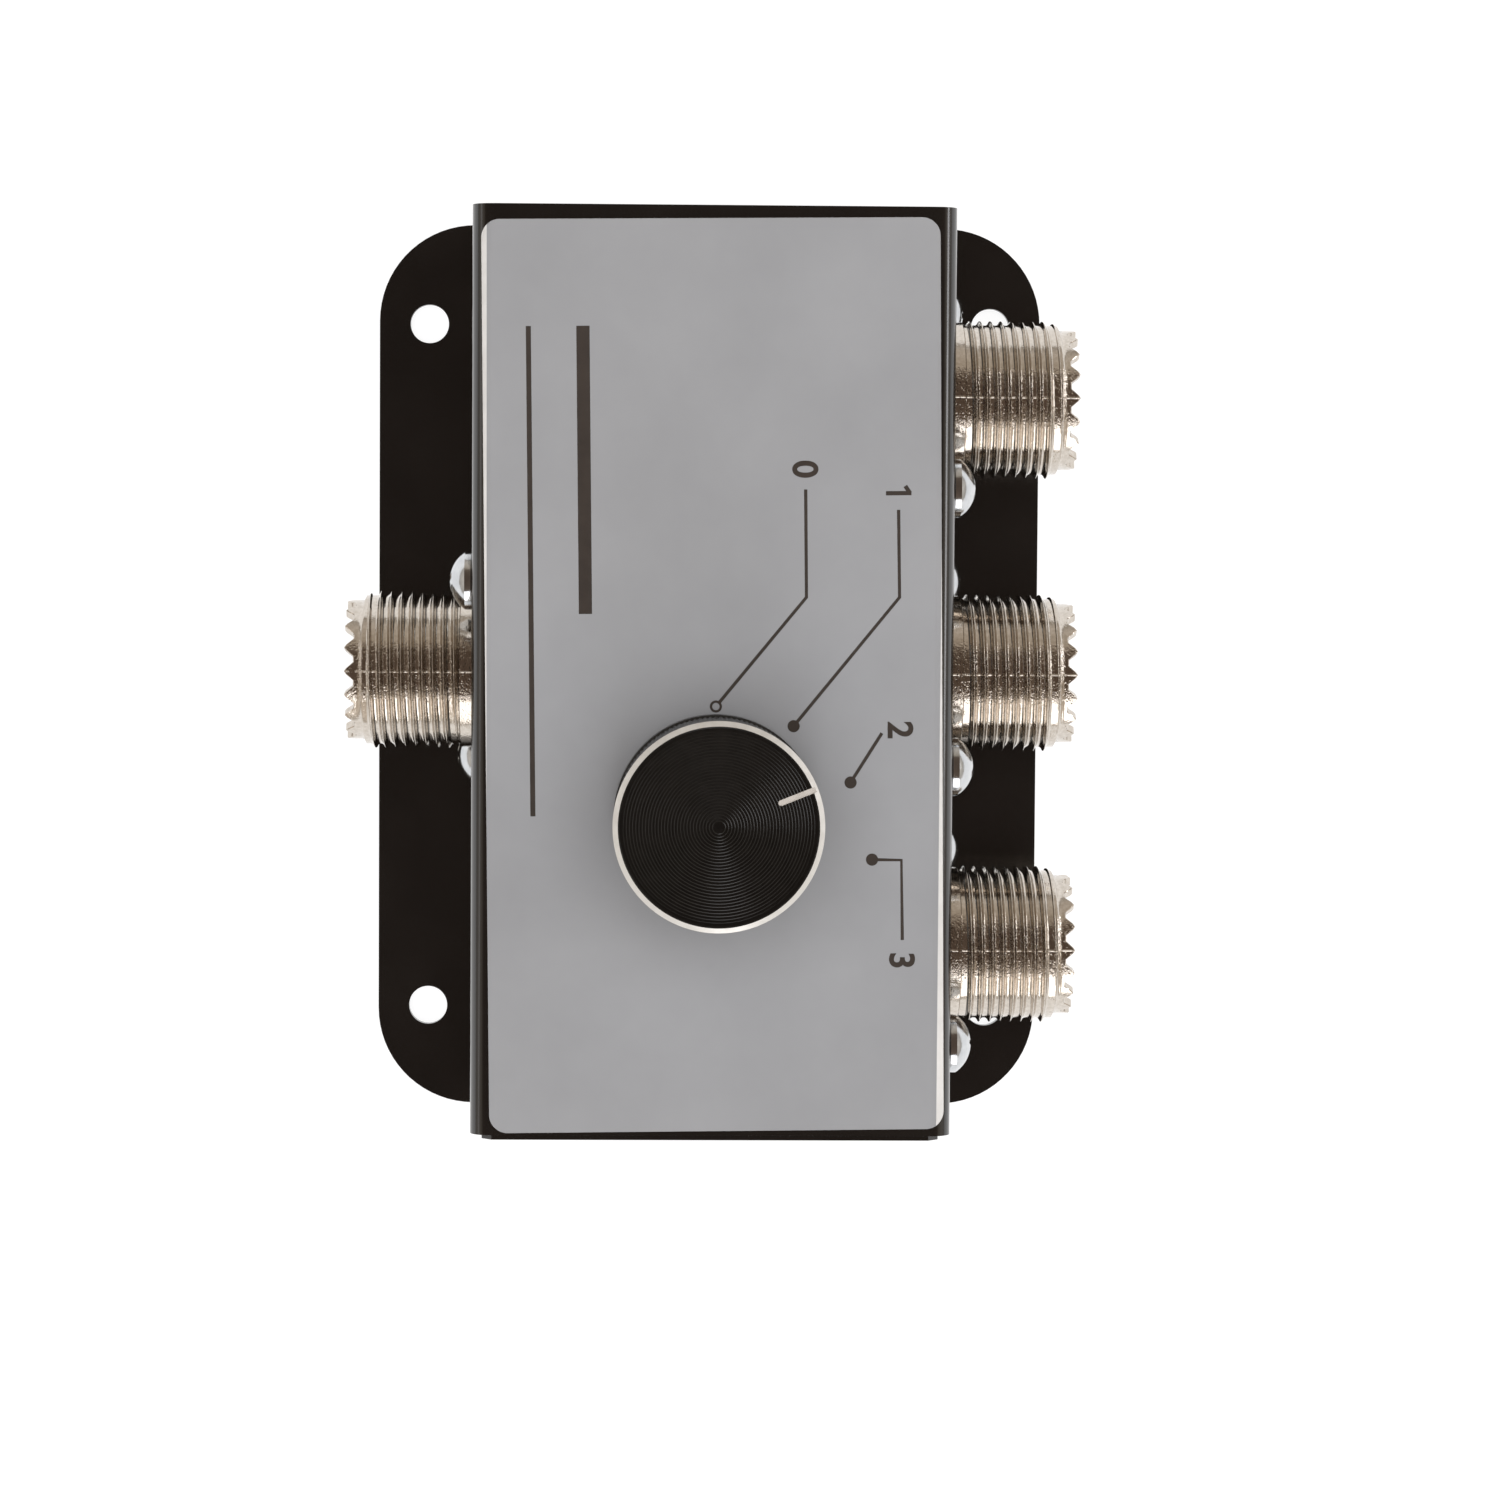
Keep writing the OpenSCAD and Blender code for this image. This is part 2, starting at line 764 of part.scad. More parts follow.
module switch_frame() {
  color([0.75, 0.75, 0.72])
    at_switch()
      difference() {
        union() {
          translate([0, 0, index_under])
            eared_disc(index_t);
          translate([0, 0, index_under])
            cylinder(h = bushing_top - index_under, d = bushing_d);
          translate([0, lug_r, index_under + weld_over])
            cylinder(h = index_t - weld_over + cover_t - sheet_gap, d = lug_d);
          for (limit = [-clicks_down, clicks_up])
            rotate([0, 0, lobe_angle + limit * click_angle
              + sign(limit) * (lobe_half + stop_pin_half + stop_slack)])
              translate([stop_circle_r, 0, index_under - stop_pin_l])
                cylinder(h = stop_pin_l + weld_over, d = stop_pin_d);
        }
        translate([0, 0, index_under - cut_over])
          cylinder(h = bushing_top - index_under + 2 * cut_over, d = shaft_d + 2 * run_gap);
        for (k = [0 : floor(360 / click_angle) - 1])
          rotate([0, 0, ball_angles[0] + k * click_angle])
            translate([ball_circle_r, 0, index_under - cut_over])
              cylinder(h = dimple_depth + cut_over, d = dimple_d);
        at_posts()
          translate([0, 0, index_under - cut_over])
            cylinder(h = index_t + 2 * cut_over, d = tie_screw_d + 2 * seat_gap);
      }
}

module panel_washer() {
  color([0.8, 0.8, 0.8])
    at_switch(case_h)
      difference() {
        cylinder(h = panel_washer_t, d = panel_washer_d);
        translate([0, 0, -cut_over])
          cylinder(h = panel_washer_t + 2 * cut_over, d = bushing_d + 2 * screw_gap);
      }
}

module panel_nut() {
  color([0.8, 0.8, 0.8])
    at_switch(case_h + panel_washer_t)
      hex_nut(panel_nut_af, bushing_d + 2 * seat_gap, panel_nut_t);
}

// Flat cut on the side that faces away from the pointer
module shaft_flat(bottom, top) {
  rotate([0, 0, pointer_turn + 180])
    translate([flat_r, -shaft_r - cut_over, bottom])
      cube([flat_depth + cut_over, shaft_d + 2 * cut_over, top - bottom]);
}

module clip_groove(z) {
  translate([0, 0, z])
    difference() {
      cylinder(h = clip_t + 2 * slide_gap, r = shaft_r + cut_over);
      translate([0, 0, -cut_over])
        cylinder(h = clip_t + 2 * slide_gap + 2 * cut_over, r = shaft_r - clip_groove_depth);
    }
}

module shaft() {
  color([0.82, 0.82, 0.8])
    at_switch()
      difference() {
        translate([0, 0, shaft_bottom])
          cylinder(h = shaft_top - shaft_bottom, r = shaft_r);
        shaft_flat(upper_flat_bottom, shaft_top + cut_over);
        shaft_flat(shaft_bottom - cut_over, lower_flat_top);
        clip_groove(upper_clip_z - slide_gap);
        clip_groove(lower_clip_z - slide_gap);
      }
}

module shaft_clips() {
  color([0.7, 0.7, 0.7])
    at_switch()
      for (z = [upper_clip_z, lower_clip_z])
        translate([0, 0, z])
          rotate([0, 0, pointer_turn + 180])
            difference() {
              cylinder(h = clip_t, d = clip_d);
              translate([0, 0, -cut_over])
                cylinder(h = clip_t + 2 * cut_over, r = shaft_r - clip_groove_depth + seat_gap);
              translate([0, -clip_mouth_w / 2, -cut_over])
                cube([clip_d, clip_mouth_w, clip_t + 2 * cut_over]);
            }
}

// D-shaped hole that fits the shaft's flat
module shaft_hole(bottom, top) {
  intersection() {
    translate([0, 0, bottom])
      cylinder(h = top - bottom, r = shaft_r + seat_gap);
    rotate([0, 0, pointer_turn + 180])
      translate([-shaft_d, -shaft_d, bottom])
        cube([shaft_d + flat_r + seat_gap, 2 * shaft_d, top - bottom]);
  }
}

module detent_carrier() {
  color([0.9, 0.88, 0.8])
    at_switch()
      difference() {
        union() {
          translate([0, 0, carrier_bottom])
            cylinder(h = carrier_t, r = carrier_r);
          intersection() {
            translate([0, 0, carrier_bottom])
              cylinder(h = carrier_t, r = lobe_r);
            rotate([0, 0, lobe_angle])
              translate([0, 0, carrier_bottom])
                linear_extrude(carrier_t)
                  polygon([
                    [0, 0],
                    [2 * lobe_r, -2 * lobe_r * tan(lobe_half)],
                    [2 * lobe_r, 2 * lobe_r * tan(lobe_half)]
                  ]);
          }
        }
        shaft_hole(carrier_bottom - cut_over, lower_flat_top);
        translate([0, 0, lower_flat_top - cut_over])
          cylinder(h = carrier_top - lower_flat_top + 2 * cut_over, r = shaft_r + seat_gap);
        for (a = ball_angles)
          rotate([0, 0, a])
            translate([ball_circle_r, 0, carrier_bottom + pocket_floor])
              cylinder(h = carrier_t, r = pocket_r);
      }
}

module detent_balls() {
  color([0.75, 0.75, 0.75])
    at_switch(ball_z)
      for (a = ball_angles)
        rotate([0, 0, a])
          translate([ball_circle_r, 0, 0])
            sphere(ball_r);
}

// Points of one ring of a coil, at step i of its run
function coil_ring(i, steps, r, wire_r, rise, sides) =
  let (a = 360 * i / steps, z = rise * i / steps)
    [for (s = [0 : sides - 1])
      let (b = 360 * s / sides, q = r + wire_r * cos(b))
        [q * cos(a), q * sin(a), z + wire_r * sin(b)]];

// Closed tube from its rings of points, with so many sides to a ring
module skin(points, sides) {
  last = len(points) / sides - 1;
  walls = [for (i = [0 : last - 1], s = [0 : sides - 1])
    let (a = i * sides + s, b = i * sides + (s + 1) % sides)
      each [[a, a + sides, b], [b, a + sides, b + sides]]];
  near_cap = [for (s = [1 : sides - 2]) [0, s, s + 1]];
  far_cap = [for (s = [1 : sides - 2]) [last * sides, last * sides + s + 1, last * sides + s]];
  polyhedron(points, concat(walls, near_cap, far_cap), convexity = 4);
}

module detent_springs() {
  floor_z = carrier_bottom + pocket_floor;
  spring_l = ball_z - ball_r - floor_z - spring_wire_d - 2 * slide_gap;
  color([0.7, 0.7, 0.7])
    at_switch(floor_z + spring_wire_d / 2 + slide_gap)
      for (a = ball_angles)
        rotate([0, 0, a])
          translate([ball_circle_r, 0, 0])
            skin([for (i = [0 : spring_turns * spring_steps])
              each coil_ring(i, spring_steps, spring_r, spring_wire_d / 2,
                spring_l / spring_turns, spring_sides)], spring_sides);
}

module spacer_tubes() {
  color([0.75, 0.75, 0.75])
    at_switch(wafer_top)
      at_posts()
        difference() {
          cylinder(h = spacer_l, d = spacer_d);
          translate([0, 0, -cut_over])
            cylinder(h = spacer_l + 2 * cut_over, d = tie_screw_d + 2 * screw_gap);
        }
}

module tie_screws() {
  color([0.8, 0.8, 0.8])
    at_switch()
      at_posts()
        difference() {
          union() {
            translate([0, 0, wafer_bottom - tie_head_h])
              cylinder(h = tie_head_h, d = tie_head_d);
            translate([0, 0, wafer_bottom - weld_over])
              cylinder(h = inner_top - wafer_bottom + weld_over - sheet_gap, d = tie_screw_d);
          }
          translate([-tie_head_d, -cross_w / 2, wafer_bottom - tie_head_h - cut_over])
            cube([2 * tie_head_d, cross_w, cross_depth + cut_over]);
        }
}

module stator_wafer() {
  color([0.5, 0.33, 0.18])
    at_switch(wafer_bottom)
      difference() {
        eared_disc(wafer_t);
        translate([0, 0, -cut_over])
          cylinder(h = wafer_t + 2 * cut_over, r = rotor_d / 2 + rotor_gap);
        at_posts()
          translate([0, 0, -cut_over])
            cylinder(h = wafer_t + 2 * cut_over, d = tie_screw_d + 2 * screw_gap);
        for (a = concat(output_angles, [common_angle]))
          rotate([0, 0, a])
            translate([rivet_r, 0, -cut_over])
              cylinder(h = wafer_t + 2 * cut_over, d = rivet_d + 2 * seat_gap);
      }
}

// One stamped contact, folded double at its foot, its tip reaching in to tip_r
module wafer_contact(tip_r) {
  difference() {
    union() {
      translate([foot_in_r, -contact_w / 2, wafer_top])
        cube([foot_out_r - foot_in_r, contact_w, jaw_top - wafer_top]);
      translate([tip_r, -contact_w / 2, jaw_under])
        cube([contact_end_r - tip_r, contact_w, jaw_t]);
    }
    translate([rivet_r, 0, wafer_top - cut_over])
      cylinder(h = jaw_top - wafer_top + 2 * cut_over, d = rivet_d + 2 * seat_gap);
  }
}

module output_contacts() {
  color([0.85, 0.83, 0.78])
    at_switch()
      for (a = output_angles)
        rotate([0, 0, a])
          wafer_contact(output_tip_r);
}

module common_contact() {
  color([0.85, 0.83, 0.78])
    at_switch()
      rotate([0, 0, common_angle])
        wafer_contact(common_tip_r);
}

module contact_rivets() {
  color([0.8, 0.7, 0.5])
    at_switch()
      for (a = concat(output_angles, [common_angle]))
        rotate([0, 0, a])
          translate([rivet_r, 0, 0]) {
            translate([0, 0, wafer_bottom - rivet_head_t])
              cylinder(h = rivet_head_t, d = rivet_head_d);
            translate([0, 0, wafer_bottom - weld_over / 2])
              cylinder(h = jaw_top - wafer_bottom + weld_over, d = rivet_d);
            translate([0, 0, jaw_top])
              cylinder(h = rivet_head_t, d = contact_w - 2 * seat_gap);
          }
}

module rotor_disc() {
  color([0.5, 0.33, 0.18])
    at_switch()
      difference() {
        translate([0, 0, rotor_top - rotor_t])
          cylinder(h = rotor_t, d = rotor_d);
        shaft_hole(rotor_top - rotor_t - cut_over, rotor_top + cut_over);
        rotate([0, 0, rest_angle])
          for (side = [-1, 1])
            translate([0, side * blade_rivet_circle_r, rotor_top - rotor_t - cut_over])
              cylinder(h = rotor_t + 2 * cut_over, d = blade_rivet_d + 2 * seat_gap);
      }
}

module rotor_blade() {
  color([0.85, 0.83, 0.78])
    at_switch(rotor_top)
      rotate([0, 0, rest_angle])
        difference() {
          union() {
            cylinder(h = blade_t, d = ring_d);
            translate([0, -tongue_w / 2, 0])
              cube([tongue_r, tongue_w, blade_t]);
          }
          translate([0, 0, -cut_over])
            cylinder(h = blade_t + 2 * cut_over, d = blade_hole_d);
          for (side = [-1, 1])
            translate([0, side * blade_rivet_circle_r, -cut_over])
              cylinder(h = blade_t + 2 * cut_over, d = blade_rivet_d + 2 * seat_gap);
        }
}

module blade_rivets() {
  color([0.8, 0.7, 0.5])
    at_switch(rotor_top - rotor_t)
      rotate([0, 0, rest_angle])
        for (side = [-1, 1])
          translate([0, side * blade_rivet_circle_r, 0]) {
            cylinder(h = rotor_t + blade_t - slide_gap, d = blade_rivet_d);
            translate([0, 0, -rivet_head_t])
              cylinder(h = rivet_head_t, d = blade_rivet_head_d);
          }
}

function unit(v) = v / norm(v);

function bezier(p0, p1, p2, p3, t) =
  p0 * (1 - t) ^ 3 + p1 * 3 * t * (1 - t) ^ 2 + p2 * 3 * t ^ 2 * (1 - t) + p3 * t ^ 3;

// One round tube through its points, none of whose runs stands upright
module tube(points, r, sides) {
  last = len(points) - 1;
  skin([for (i = [0 : last])
    let (
      ahead = unit(points[min(i + 1, last)] - points[max(i - 1, 0)]),
      across = unit(cross([0, 0, 1], ahead)),
      up = cross(ahead, across)
    )
      for (s = [0 : sides - 1])
        points[i] + r * (across * cos(360 * s / sides) + up * sin(360 * s / sides))], sides);
}

// From a socket's solder cup over the wafer's edge to the top of a contact, in one soft arch
module socket_wire(i, angle) {
  cup_y = case_w / 2 - flange_back - insulator_boss_l - cup_l;
  side = socket_sides[i];
  way = [cos(angle), sin(angle), 0];
  lug_end = [knob_x, knob_y, jaw_top + wire_r + slide_gap] + (contact_end_r + wire_d) * way;
  cup_mouth = [socket_xs[i], side * (cup_y - wire_out_of_cup), socket_z];
  reach = norm(lug_end - cup_mouth);
  pull = reach * [0, -side * wire_pull_share, wire_lift_share];
  turn = reach * wire_turn_share * way;
  color([0.8, 0.78, 0.72])
    tube(concat(
      [cup_mouth + [0, side * (wire_in_cup + wire_out_of_cup), 0]],
      [for (k = [0 : wire_steps])
        bezier(cup_mouth, cup_mouth + pull, lug_end + turn, lug_end, k / wire_steps)],
      [lug_end - (wire_on_lug + wire_d) * way]
    ), wire_r, wire_sides);
}

module input_wire() { socket_wire(0, common_angle); }
module output_1_wire() { socket_wire(1, rest_angle + click_angle); }
module output_2_wire() { socket_wire(2, rest_angle); }
module output_3_wire() { socket_wire(3, rest_angle - click_angle); }

module knob() {
  r = knob_d / 2;
  color([0.08, 0.08, 0.08])
    at_switch()
      difference() {
        rotate_extrude()
          polygon([
            [0, knob_bottom],
            [r - knob_foot_chamfer, knob_bottom],
            [r, knob_bottom + knob_foot_chamfer],
            [r, grip_bottom],
            [grip_d / 2, grip_bottom + grip_sink],
            [grip_d / 2, grip_top - grip_sink],
            [r, grip_top],
            [r, knob_top - knob_ring_w],
            [r - knob_ring_w, knob_top],
            [r - knob_ring_w - knob_face_sink, knob_top - knob_face_sink],
            [0, knob_top - knob_face_sink]
          ]);
        translate([0, 0, knob_bottom - cut_over])
          cylinder(h = knob_recess_top - knob_bottom + cut_over, d = knob_recess_d);
        translate([0, 0, knob_bottom])
          cylinder(h = knob_h - knob_roof, r = shaft_r + seat_gap);
        rotate([0, 0, pointer_turn])
          translate([r - pointer_l, -pointer_w / 2, knob_top - knob_face_sink - pointer_depth])
            cube([pointer_l + cut_over, pointer_w, knob_face_sink + pointer_depth + cut_over]);
        rotate([0, 0, pointer_turn + 180])
          translate([0, 0, set_screw_z])
            rotate([0, 90, 0])
              cylinder(h = r + cut_over, d = set_screw_d + 2 * seat_gap);
      }
}

module knob_set_screw() {
  color([0.3, 0.3, 0.3])
    at_switch(set_screw_z)
      rotate([0, 0, pointer_turn + 180])
        translate([flat_r + slide_gap, 0, 0])
          rotate([0, 90, 0])
            difference() {
              cylinder(h = set_screw_l, d = set_screw_d);
              translate([0, 0, set_screw_l - hex_key_depth])
                cylinder(h = hex_key_depth + cut_over, d = hex_key_af / cos(30), $fn = 6);
            }
}

base_plate();
cover();
label_film();
case_screws();
input_socket_shell();
output_1_socket_shell();
output_2_socket_shell();
output_3_socket_shell();
input_socket_insulator();
output_1_socket_insulator();
output_2_socket_insulator();
output_3_socket_insulator();
input_socket_contact();
output_1_socket_contact();
output_2_socket_contact();
output_3_socket_contact();
socket_screws();
socket_lock_washers();
socket_nuts();
switch_frame();
panel_washer();
panel_nut();
shaft();
shaft_clips();
detent_carrier();
detent_balls();
detent_springs();
spacer_tubes();
tie_screws();
stator_wafer();
output_contacts();
common_contact();
contact_rivets();
rotor_disc();
rotor_blade();
blade_rivets();
input_wire();
output_1_wire();
output_2_wire();
output_3_wire();
knob();
knob_set_screw();
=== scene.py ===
"""The looks of a four-position coaxial antenna switch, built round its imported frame.

Lengths are in millimetres and are turned to metres by MM where Blender takes them.
The frame has +X along the box, +Y towards the output sockets and +Z up through the knob.
"""

import json
import math

import bmesh
import bpy
from mathutils import Matrix, Vector


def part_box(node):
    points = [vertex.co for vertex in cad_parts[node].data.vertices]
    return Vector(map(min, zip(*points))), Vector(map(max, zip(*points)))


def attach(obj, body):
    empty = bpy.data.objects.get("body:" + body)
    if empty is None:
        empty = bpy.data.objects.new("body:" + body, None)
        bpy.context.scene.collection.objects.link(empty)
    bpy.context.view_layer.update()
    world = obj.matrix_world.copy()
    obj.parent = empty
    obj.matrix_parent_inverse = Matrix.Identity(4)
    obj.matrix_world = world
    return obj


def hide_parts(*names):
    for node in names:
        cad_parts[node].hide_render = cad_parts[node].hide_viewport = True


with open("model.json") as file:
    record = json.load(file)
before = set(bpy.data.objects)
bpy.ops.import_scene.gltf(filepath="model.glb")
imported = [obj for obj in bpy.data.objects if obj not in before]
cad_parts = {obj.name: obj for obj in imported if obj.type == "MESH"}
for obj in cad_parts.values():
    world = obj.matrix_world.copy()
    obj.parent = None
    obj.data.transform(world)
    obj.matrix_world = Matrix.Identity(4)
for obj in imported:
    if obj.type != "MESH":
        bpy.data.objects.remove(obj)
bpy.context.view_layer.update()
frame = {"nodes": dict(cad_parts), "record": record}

MM = 0.001


# Places read from the frame, in millimetres
def node_box(name):
    """Lowest and highest corner of a node."""
    low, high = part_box(name)
    return low / MM, high / MM


case_half_w = node_box("cover")[1].y
label_top = node_box("label_film")[1].z
shell_low, shell_high = node_box("output_2_socket_shell")
socket_z = (shell_low.z + shell_high.z) / 2
socket_pitch = node_box("output_3_socket_shell")[1].x - shell_high.x
knob_low, knob_high = node_box("knob")
knob_middle = (knob_low + knob_high) / 2
knob_r = (knob_high.x - knob_low.x) / 2

# Sheet pieces: the record's slot of each, and the round that its sharp edges get
SHEET_PIECES = {
    "base_plate": ("black_enamel", 0.16),
    "cover": ("black_enamel", 0.14),
    "label_film": ("label_film", 0.16),
}
SHEET_ROUND_SEGMENTS = 2
SHEET_SHARP_ANGLE = 35
SHEET_FLAT_ANGLE = 0.5
# A face of the label whose normal stands less upright than this takes the pale film: its cut edge,
# and a painted sheen on its rounded rim and bends
LABEL_FACE_UPRIGHT = 0.97

# Socket shells: the barrel and its collar, neck and toothed rim
BARREL_SIDES = 144
BARREL_SINK = 1.4
SHELL_BORE_D = 12.4
COLLAR_D = 15.6
COLLAR_L = 1.5
COLLAR_BEVEL = 0.11
NECK_D = 14.05
NECK_L = 1.0
NECK_SLOPE_L = 0.25
TOOTH_COUNT = 18
TOOTH_DEPTH = 0.9
# How far the rim drops, column by column from a tooth's tip
TOOTH_DROPS = (0.22, 0.61, 1.0, 1.0)
TOOTH_BEVEL = 0.08
FLANGE_HOLE_PITCH = 18.26
# The CAD shell is cut off this far inside the wall's outside, and its flange is kept
FLANGE_CUT_DEPTH = 0.6

# Their thread: 5/8-24, its crests rounded and its groove hollowed as in the photograph
THREAD_D = 15.875
THREAD_PITCH = 1.058
THREAD_TURNS = 9
THREAD_DEPTH = 0.4 * THREAD_PITCH
CREST_ROUND = 0.07
# Where the points of that round lie on either side, in degrees from its outermost line
CREST_ANGLES = (65, 40, 13)
# How the groove rises from its middle to the crest: its exponent, a V at 1, and its points
GROOVE_CURVE = 2.8
GROOVE_SHARES = (0, 0.25, 0.4, 0.55, 0.7, 0.82, 0.92)
# The ridge is sunk into the core, and each turn laps a little over the next
RIDGE_SINK = 0.05
RIDGE_LAP = 0.004
# In turns: how far past the collar it starts, how much shorter it is, and how it fades at its ends
RIDGE_START = 0.13
RIDGE_SHORT = 0.1
FADE_IN = 0.2
FADE_OUT = 0.7
FADE_STEPS = 10

# Socket screws
SCREW_SIDES = 48
SCREW_HEAD_D = 5.8
SCREW_HEAD_H = 2.3
SCREW_RIM_H = 0.75
SCREW_RIM_CHAMFER = 0.12
SCREW_DOME_STEPS = 12
SCREW_SHANK_D = 2.9
SCREW_SHANK_L = 6.3
SCREW_POINT_CHAMFER = 0.25
SCREW_BEVEL = 0.06
SCREW_SHARP_ANGLE = 40
# Each arm of the driver's cross before its taper, the depth of its middle, and its foot's share
CROSS_ARM_SIZE = (3.3, 0.75, 2.2)
CROSS_MIDDLE_DEPTH = 0.35
CROSS_FOOT_SHARE = 0.35
# How far each driver happened to leave its cross turned, in degrees
SCREW_TURNS = (25, 62, 11, 48, 80, 33, 5, 70)

# Knob
KNOB_SIDES = 240
KNOB_RING_W = 0.5
KNOB_FACE_SINK = 0.15
KNOB_FOOT_CHAMFER = 0.3
KNOB_HOLE_R = 3.05
KNOB_HOLE_H = 14.0
KNOB_RECESS_R = 7.93
KNOB_RECESS_H = 5.87
FOOT_BAND_H = 2.4
HEAD_BAND_H = 2.2
GRIP_SINK = 0.15
KNURL_DEPTH = 0.1
# The turned face is a row of saw teeth, whose steep sides look outwards
GROOVE_PITCH = 0.3
GROOVE_DEPTH = 0.05
GROOVE_STEEP_SHARE = 0.25
POINTER_W = 0.55
POINTER_L = 4.0
POINTER_DEPTH = 0.12
POINTER_ANGLE = 21.8
POINTER_CUTTER_H = 1.0
POINTER_SIDES = 32
SET_SCREW_HOLE_R = 1.55
SET_SCREW_Z = 40.87
SET_SCREW_SIDES = 48

# Print on the label, in the label's own frame: its middle, its turn in degrees, and its marks
PRINT_MIDDLE = (0.385, 0.115)
PRINT_TURN = 0.75
INK_T = 0.012
LEADER_W = 0.33
LEADERS = (
    ((-18.52, 9.09), (-7.98, 9.10), (2.22, 0.52)),
    ((-16.47, 18.18), (-7.91, 18.23), (4.65, 7.76)),
    ((5.40, 16.43), (10.23, 13.32)),
    ((25.80, 18.33), (17.91, 18.28), (17.84, 15.39)),
)
DOTS = ((2.66, 0.15), (4.65, 7.76), (10.23, 13.32), (17.84, 15.39))
DOT_R = 0.6
DOT_SIDES = 40
# The middle of the first dot is worn off, all but a ring of this share of its radius
DOT_RING_SHARE = 0.4
# Each number with the place of its middle
NUMBERS = (("0", (-20.5, 9.07)), ("1", (-18.3, 18.2)), ("2", (5.1, 18.26)), ("3", (27.8, 18.29)))
NUMBER_H = 2.5
# The built-in font: a figure's height as a share of the type size, and how much bolder it is drawn
FIGURE_HEIGHT_SHARE = 0.73
FIGURE_BOLDER = 0.085
# The figure 1 is drawn: its stroke, its stem's place across, and its flag's reach and drop
FIGURE_STROKE = 0.42
ONE_STEM_X = 0.2
ONE_FLAG_X = -0.5
ONE_FLAG_DROP = 0.6
# Two plain rules: their ends along the label, their place across it and their width
RULES = ((-34.6, -6.5, -12.55, 1.3), (-34.6, 13.3, -17.87, 0.5))

# Camera, from the photograph: almost straight down, a little tilted and rolled
CAMERA_PLACE = (-12.03, -6.77, 433.72)
CAMERA_TURN = (-2.75, -1.465, 90.358)
CAMERA_LENS = 98.86
CAMERA_SENSOR_W = 36
CAMERA_NEAREST = 10

# Floor: just under the base plate, because two faces in one plane flicker
FLOOR_SIZE = 6000
FLOOR_DROP = 0.03
# To the lens and in reflections: its own glow, and the grey that takes the shadow
FLOOR_GLOW = 0.9
FLOOR_SHADE = 0.22

# The room's colour from the horizon (0) to straight overhead (1), and its strength at -X and +X
ROOM_TONES = [
    (0.0, "#B8B1A8"), (0.25, "#E4DACE"), (0.64, "#C6B9A9"), (0.74, "#6E5F53"), (1.0, "#5E5046")]
ROOM_STRENGTH = (0.8, 1.1)

# Softboxes: place and size, the radiance of the face, and whether gloss mirrors it
SOFTBOX_COLOUR = "#FAFBFF"
SOFTBOXES = {
    "key": ((645, 80, 330), (300, 540), 2.4, True),
    "output_side": ((-190, 620, 300), (520, 110), 5.0, True),
    "input_side": ((-100, -640, 300), (560, 90), 0.9, True),
    "fill": ((0, 0, 900), (800, 800), 3.0, False),
}

# How near a place counts as the one looked for, a vertex as a line's end, and vertices as one
NEAR = 0.01
END_WITHIN = 0.0001
MERGE_WITHIN = 0.0005


# Materials
# Most values of a noise texture lie between these
NOISE_LOW, NOISE_HIGH = 0.3, 0.7


def linear(hex_colour):
    """A linear RGBA colour from an sRGB hex value."""
    channels = [int(hex_colour[i:i + 2], 16) / 255 for i in (1, 3, 5)]
    return [c / 12.92 if c <= 0.04045 else ((c + 0.055) / 1.055) ** 2.4 for c in channels] + [1.0]


def per_metre(size_mm):
    """How many patterns of this size lie in a metre."""
    return 1 / (size_mm * MM)


def add_node(tree, kind, settings=None, links=None):
    """Adds a node, sets its sockets or properties, and links other nodes' outputs to its inputs."""
    made = tree.nodes.new(kind)
    for key, value in (settings or {}).items():
        if isinstance(key, int) or key in made.inputs.keys():
            made.inputs[key].default_value = value
        else:
            setattr(made, key, value)
    for key, source in (links or {}).items():
        tree.links.new(source, made.inputs[key])
    return made


def new_material(name):
    """An empty node material and its tree."""
    made = bpy.data.materials.new(name)
    made.use_nodes = True
    made.node_tree.nodes.clear()
    return made, made.node_tree


def set_stops(ramp, stops):
    """Gives a colour ramp node its stops, as pairs of place and hex colour."""
    elements = ramp.color_ramp.elements
    while len(elements) > 1:
        elements.remove(elements[-1])
    elements[0].position, elements[0].color = stops[0][0], linear(stops[0][1])
    for place, colour in stops[1:]:
        elements.new(place).color = linear(colour)


def mottled(name, settings, colours, grain_mm, bump_mm, rough, bump_strength):
    """A surface whose colour and gloss wander slightly, over a fine bump of its own grain.

    colours are the darker and the lighter hex value, rough the least and the most roughness.
    """
    made, tree = new_material(name)
    place = add_node(tree, "ShaderNodeTexCoord").outputs["Object"]
    wander = add_node(tree, "ShaderNodeTexNoise",
        {"Scale": per_metre(grain_mm), "Detail": 4.0, "Roughness": 0.6}, {"Vector": place})
    colour = add_node(tree, "ShaderNodeValToRGB", links={"Fac": wander.outputs["Fac"]})
    set_stops(colour, [(NOISE_LOW, colours[0]), (NOISE_HIGH, colours[1])])
    gloss = add_node(tree, "ShaderNodeMapRange",
        {"From Min": NOISE_LOW, "From Max": NOISE_HIGH, "To Min": rough[0], "To Max": rough[1]},
        {"Value": wander.outputs["Fac"]})
    fine = add_node(tree, "ShaderNodeTexNoise",
        {"Scale": per_metre(bump_mm), "Detail": 3.0, "Roughness": 0.55}, {"Vector": place})
    bump = add_node(tree, "ShaderNodeBump",
        {"Strength": bump_strength, "Distance": bump_mm * MM * 0.2},
        {"Height": fine.outputs["Fac"]})
    shader = add_node(tree, "ShaderNodeBsdfPrincipled", settings, {
        "Base Color": colour.outputs["Color"],
        "Roughness": gloss.outputs["Result"],
        "Normal": bump.outputs["Normal"]})
    add_node(tree, "ShaderNodeOutputMaterial", links={"Surface": shader.outputs["BSDF"]})
    return made


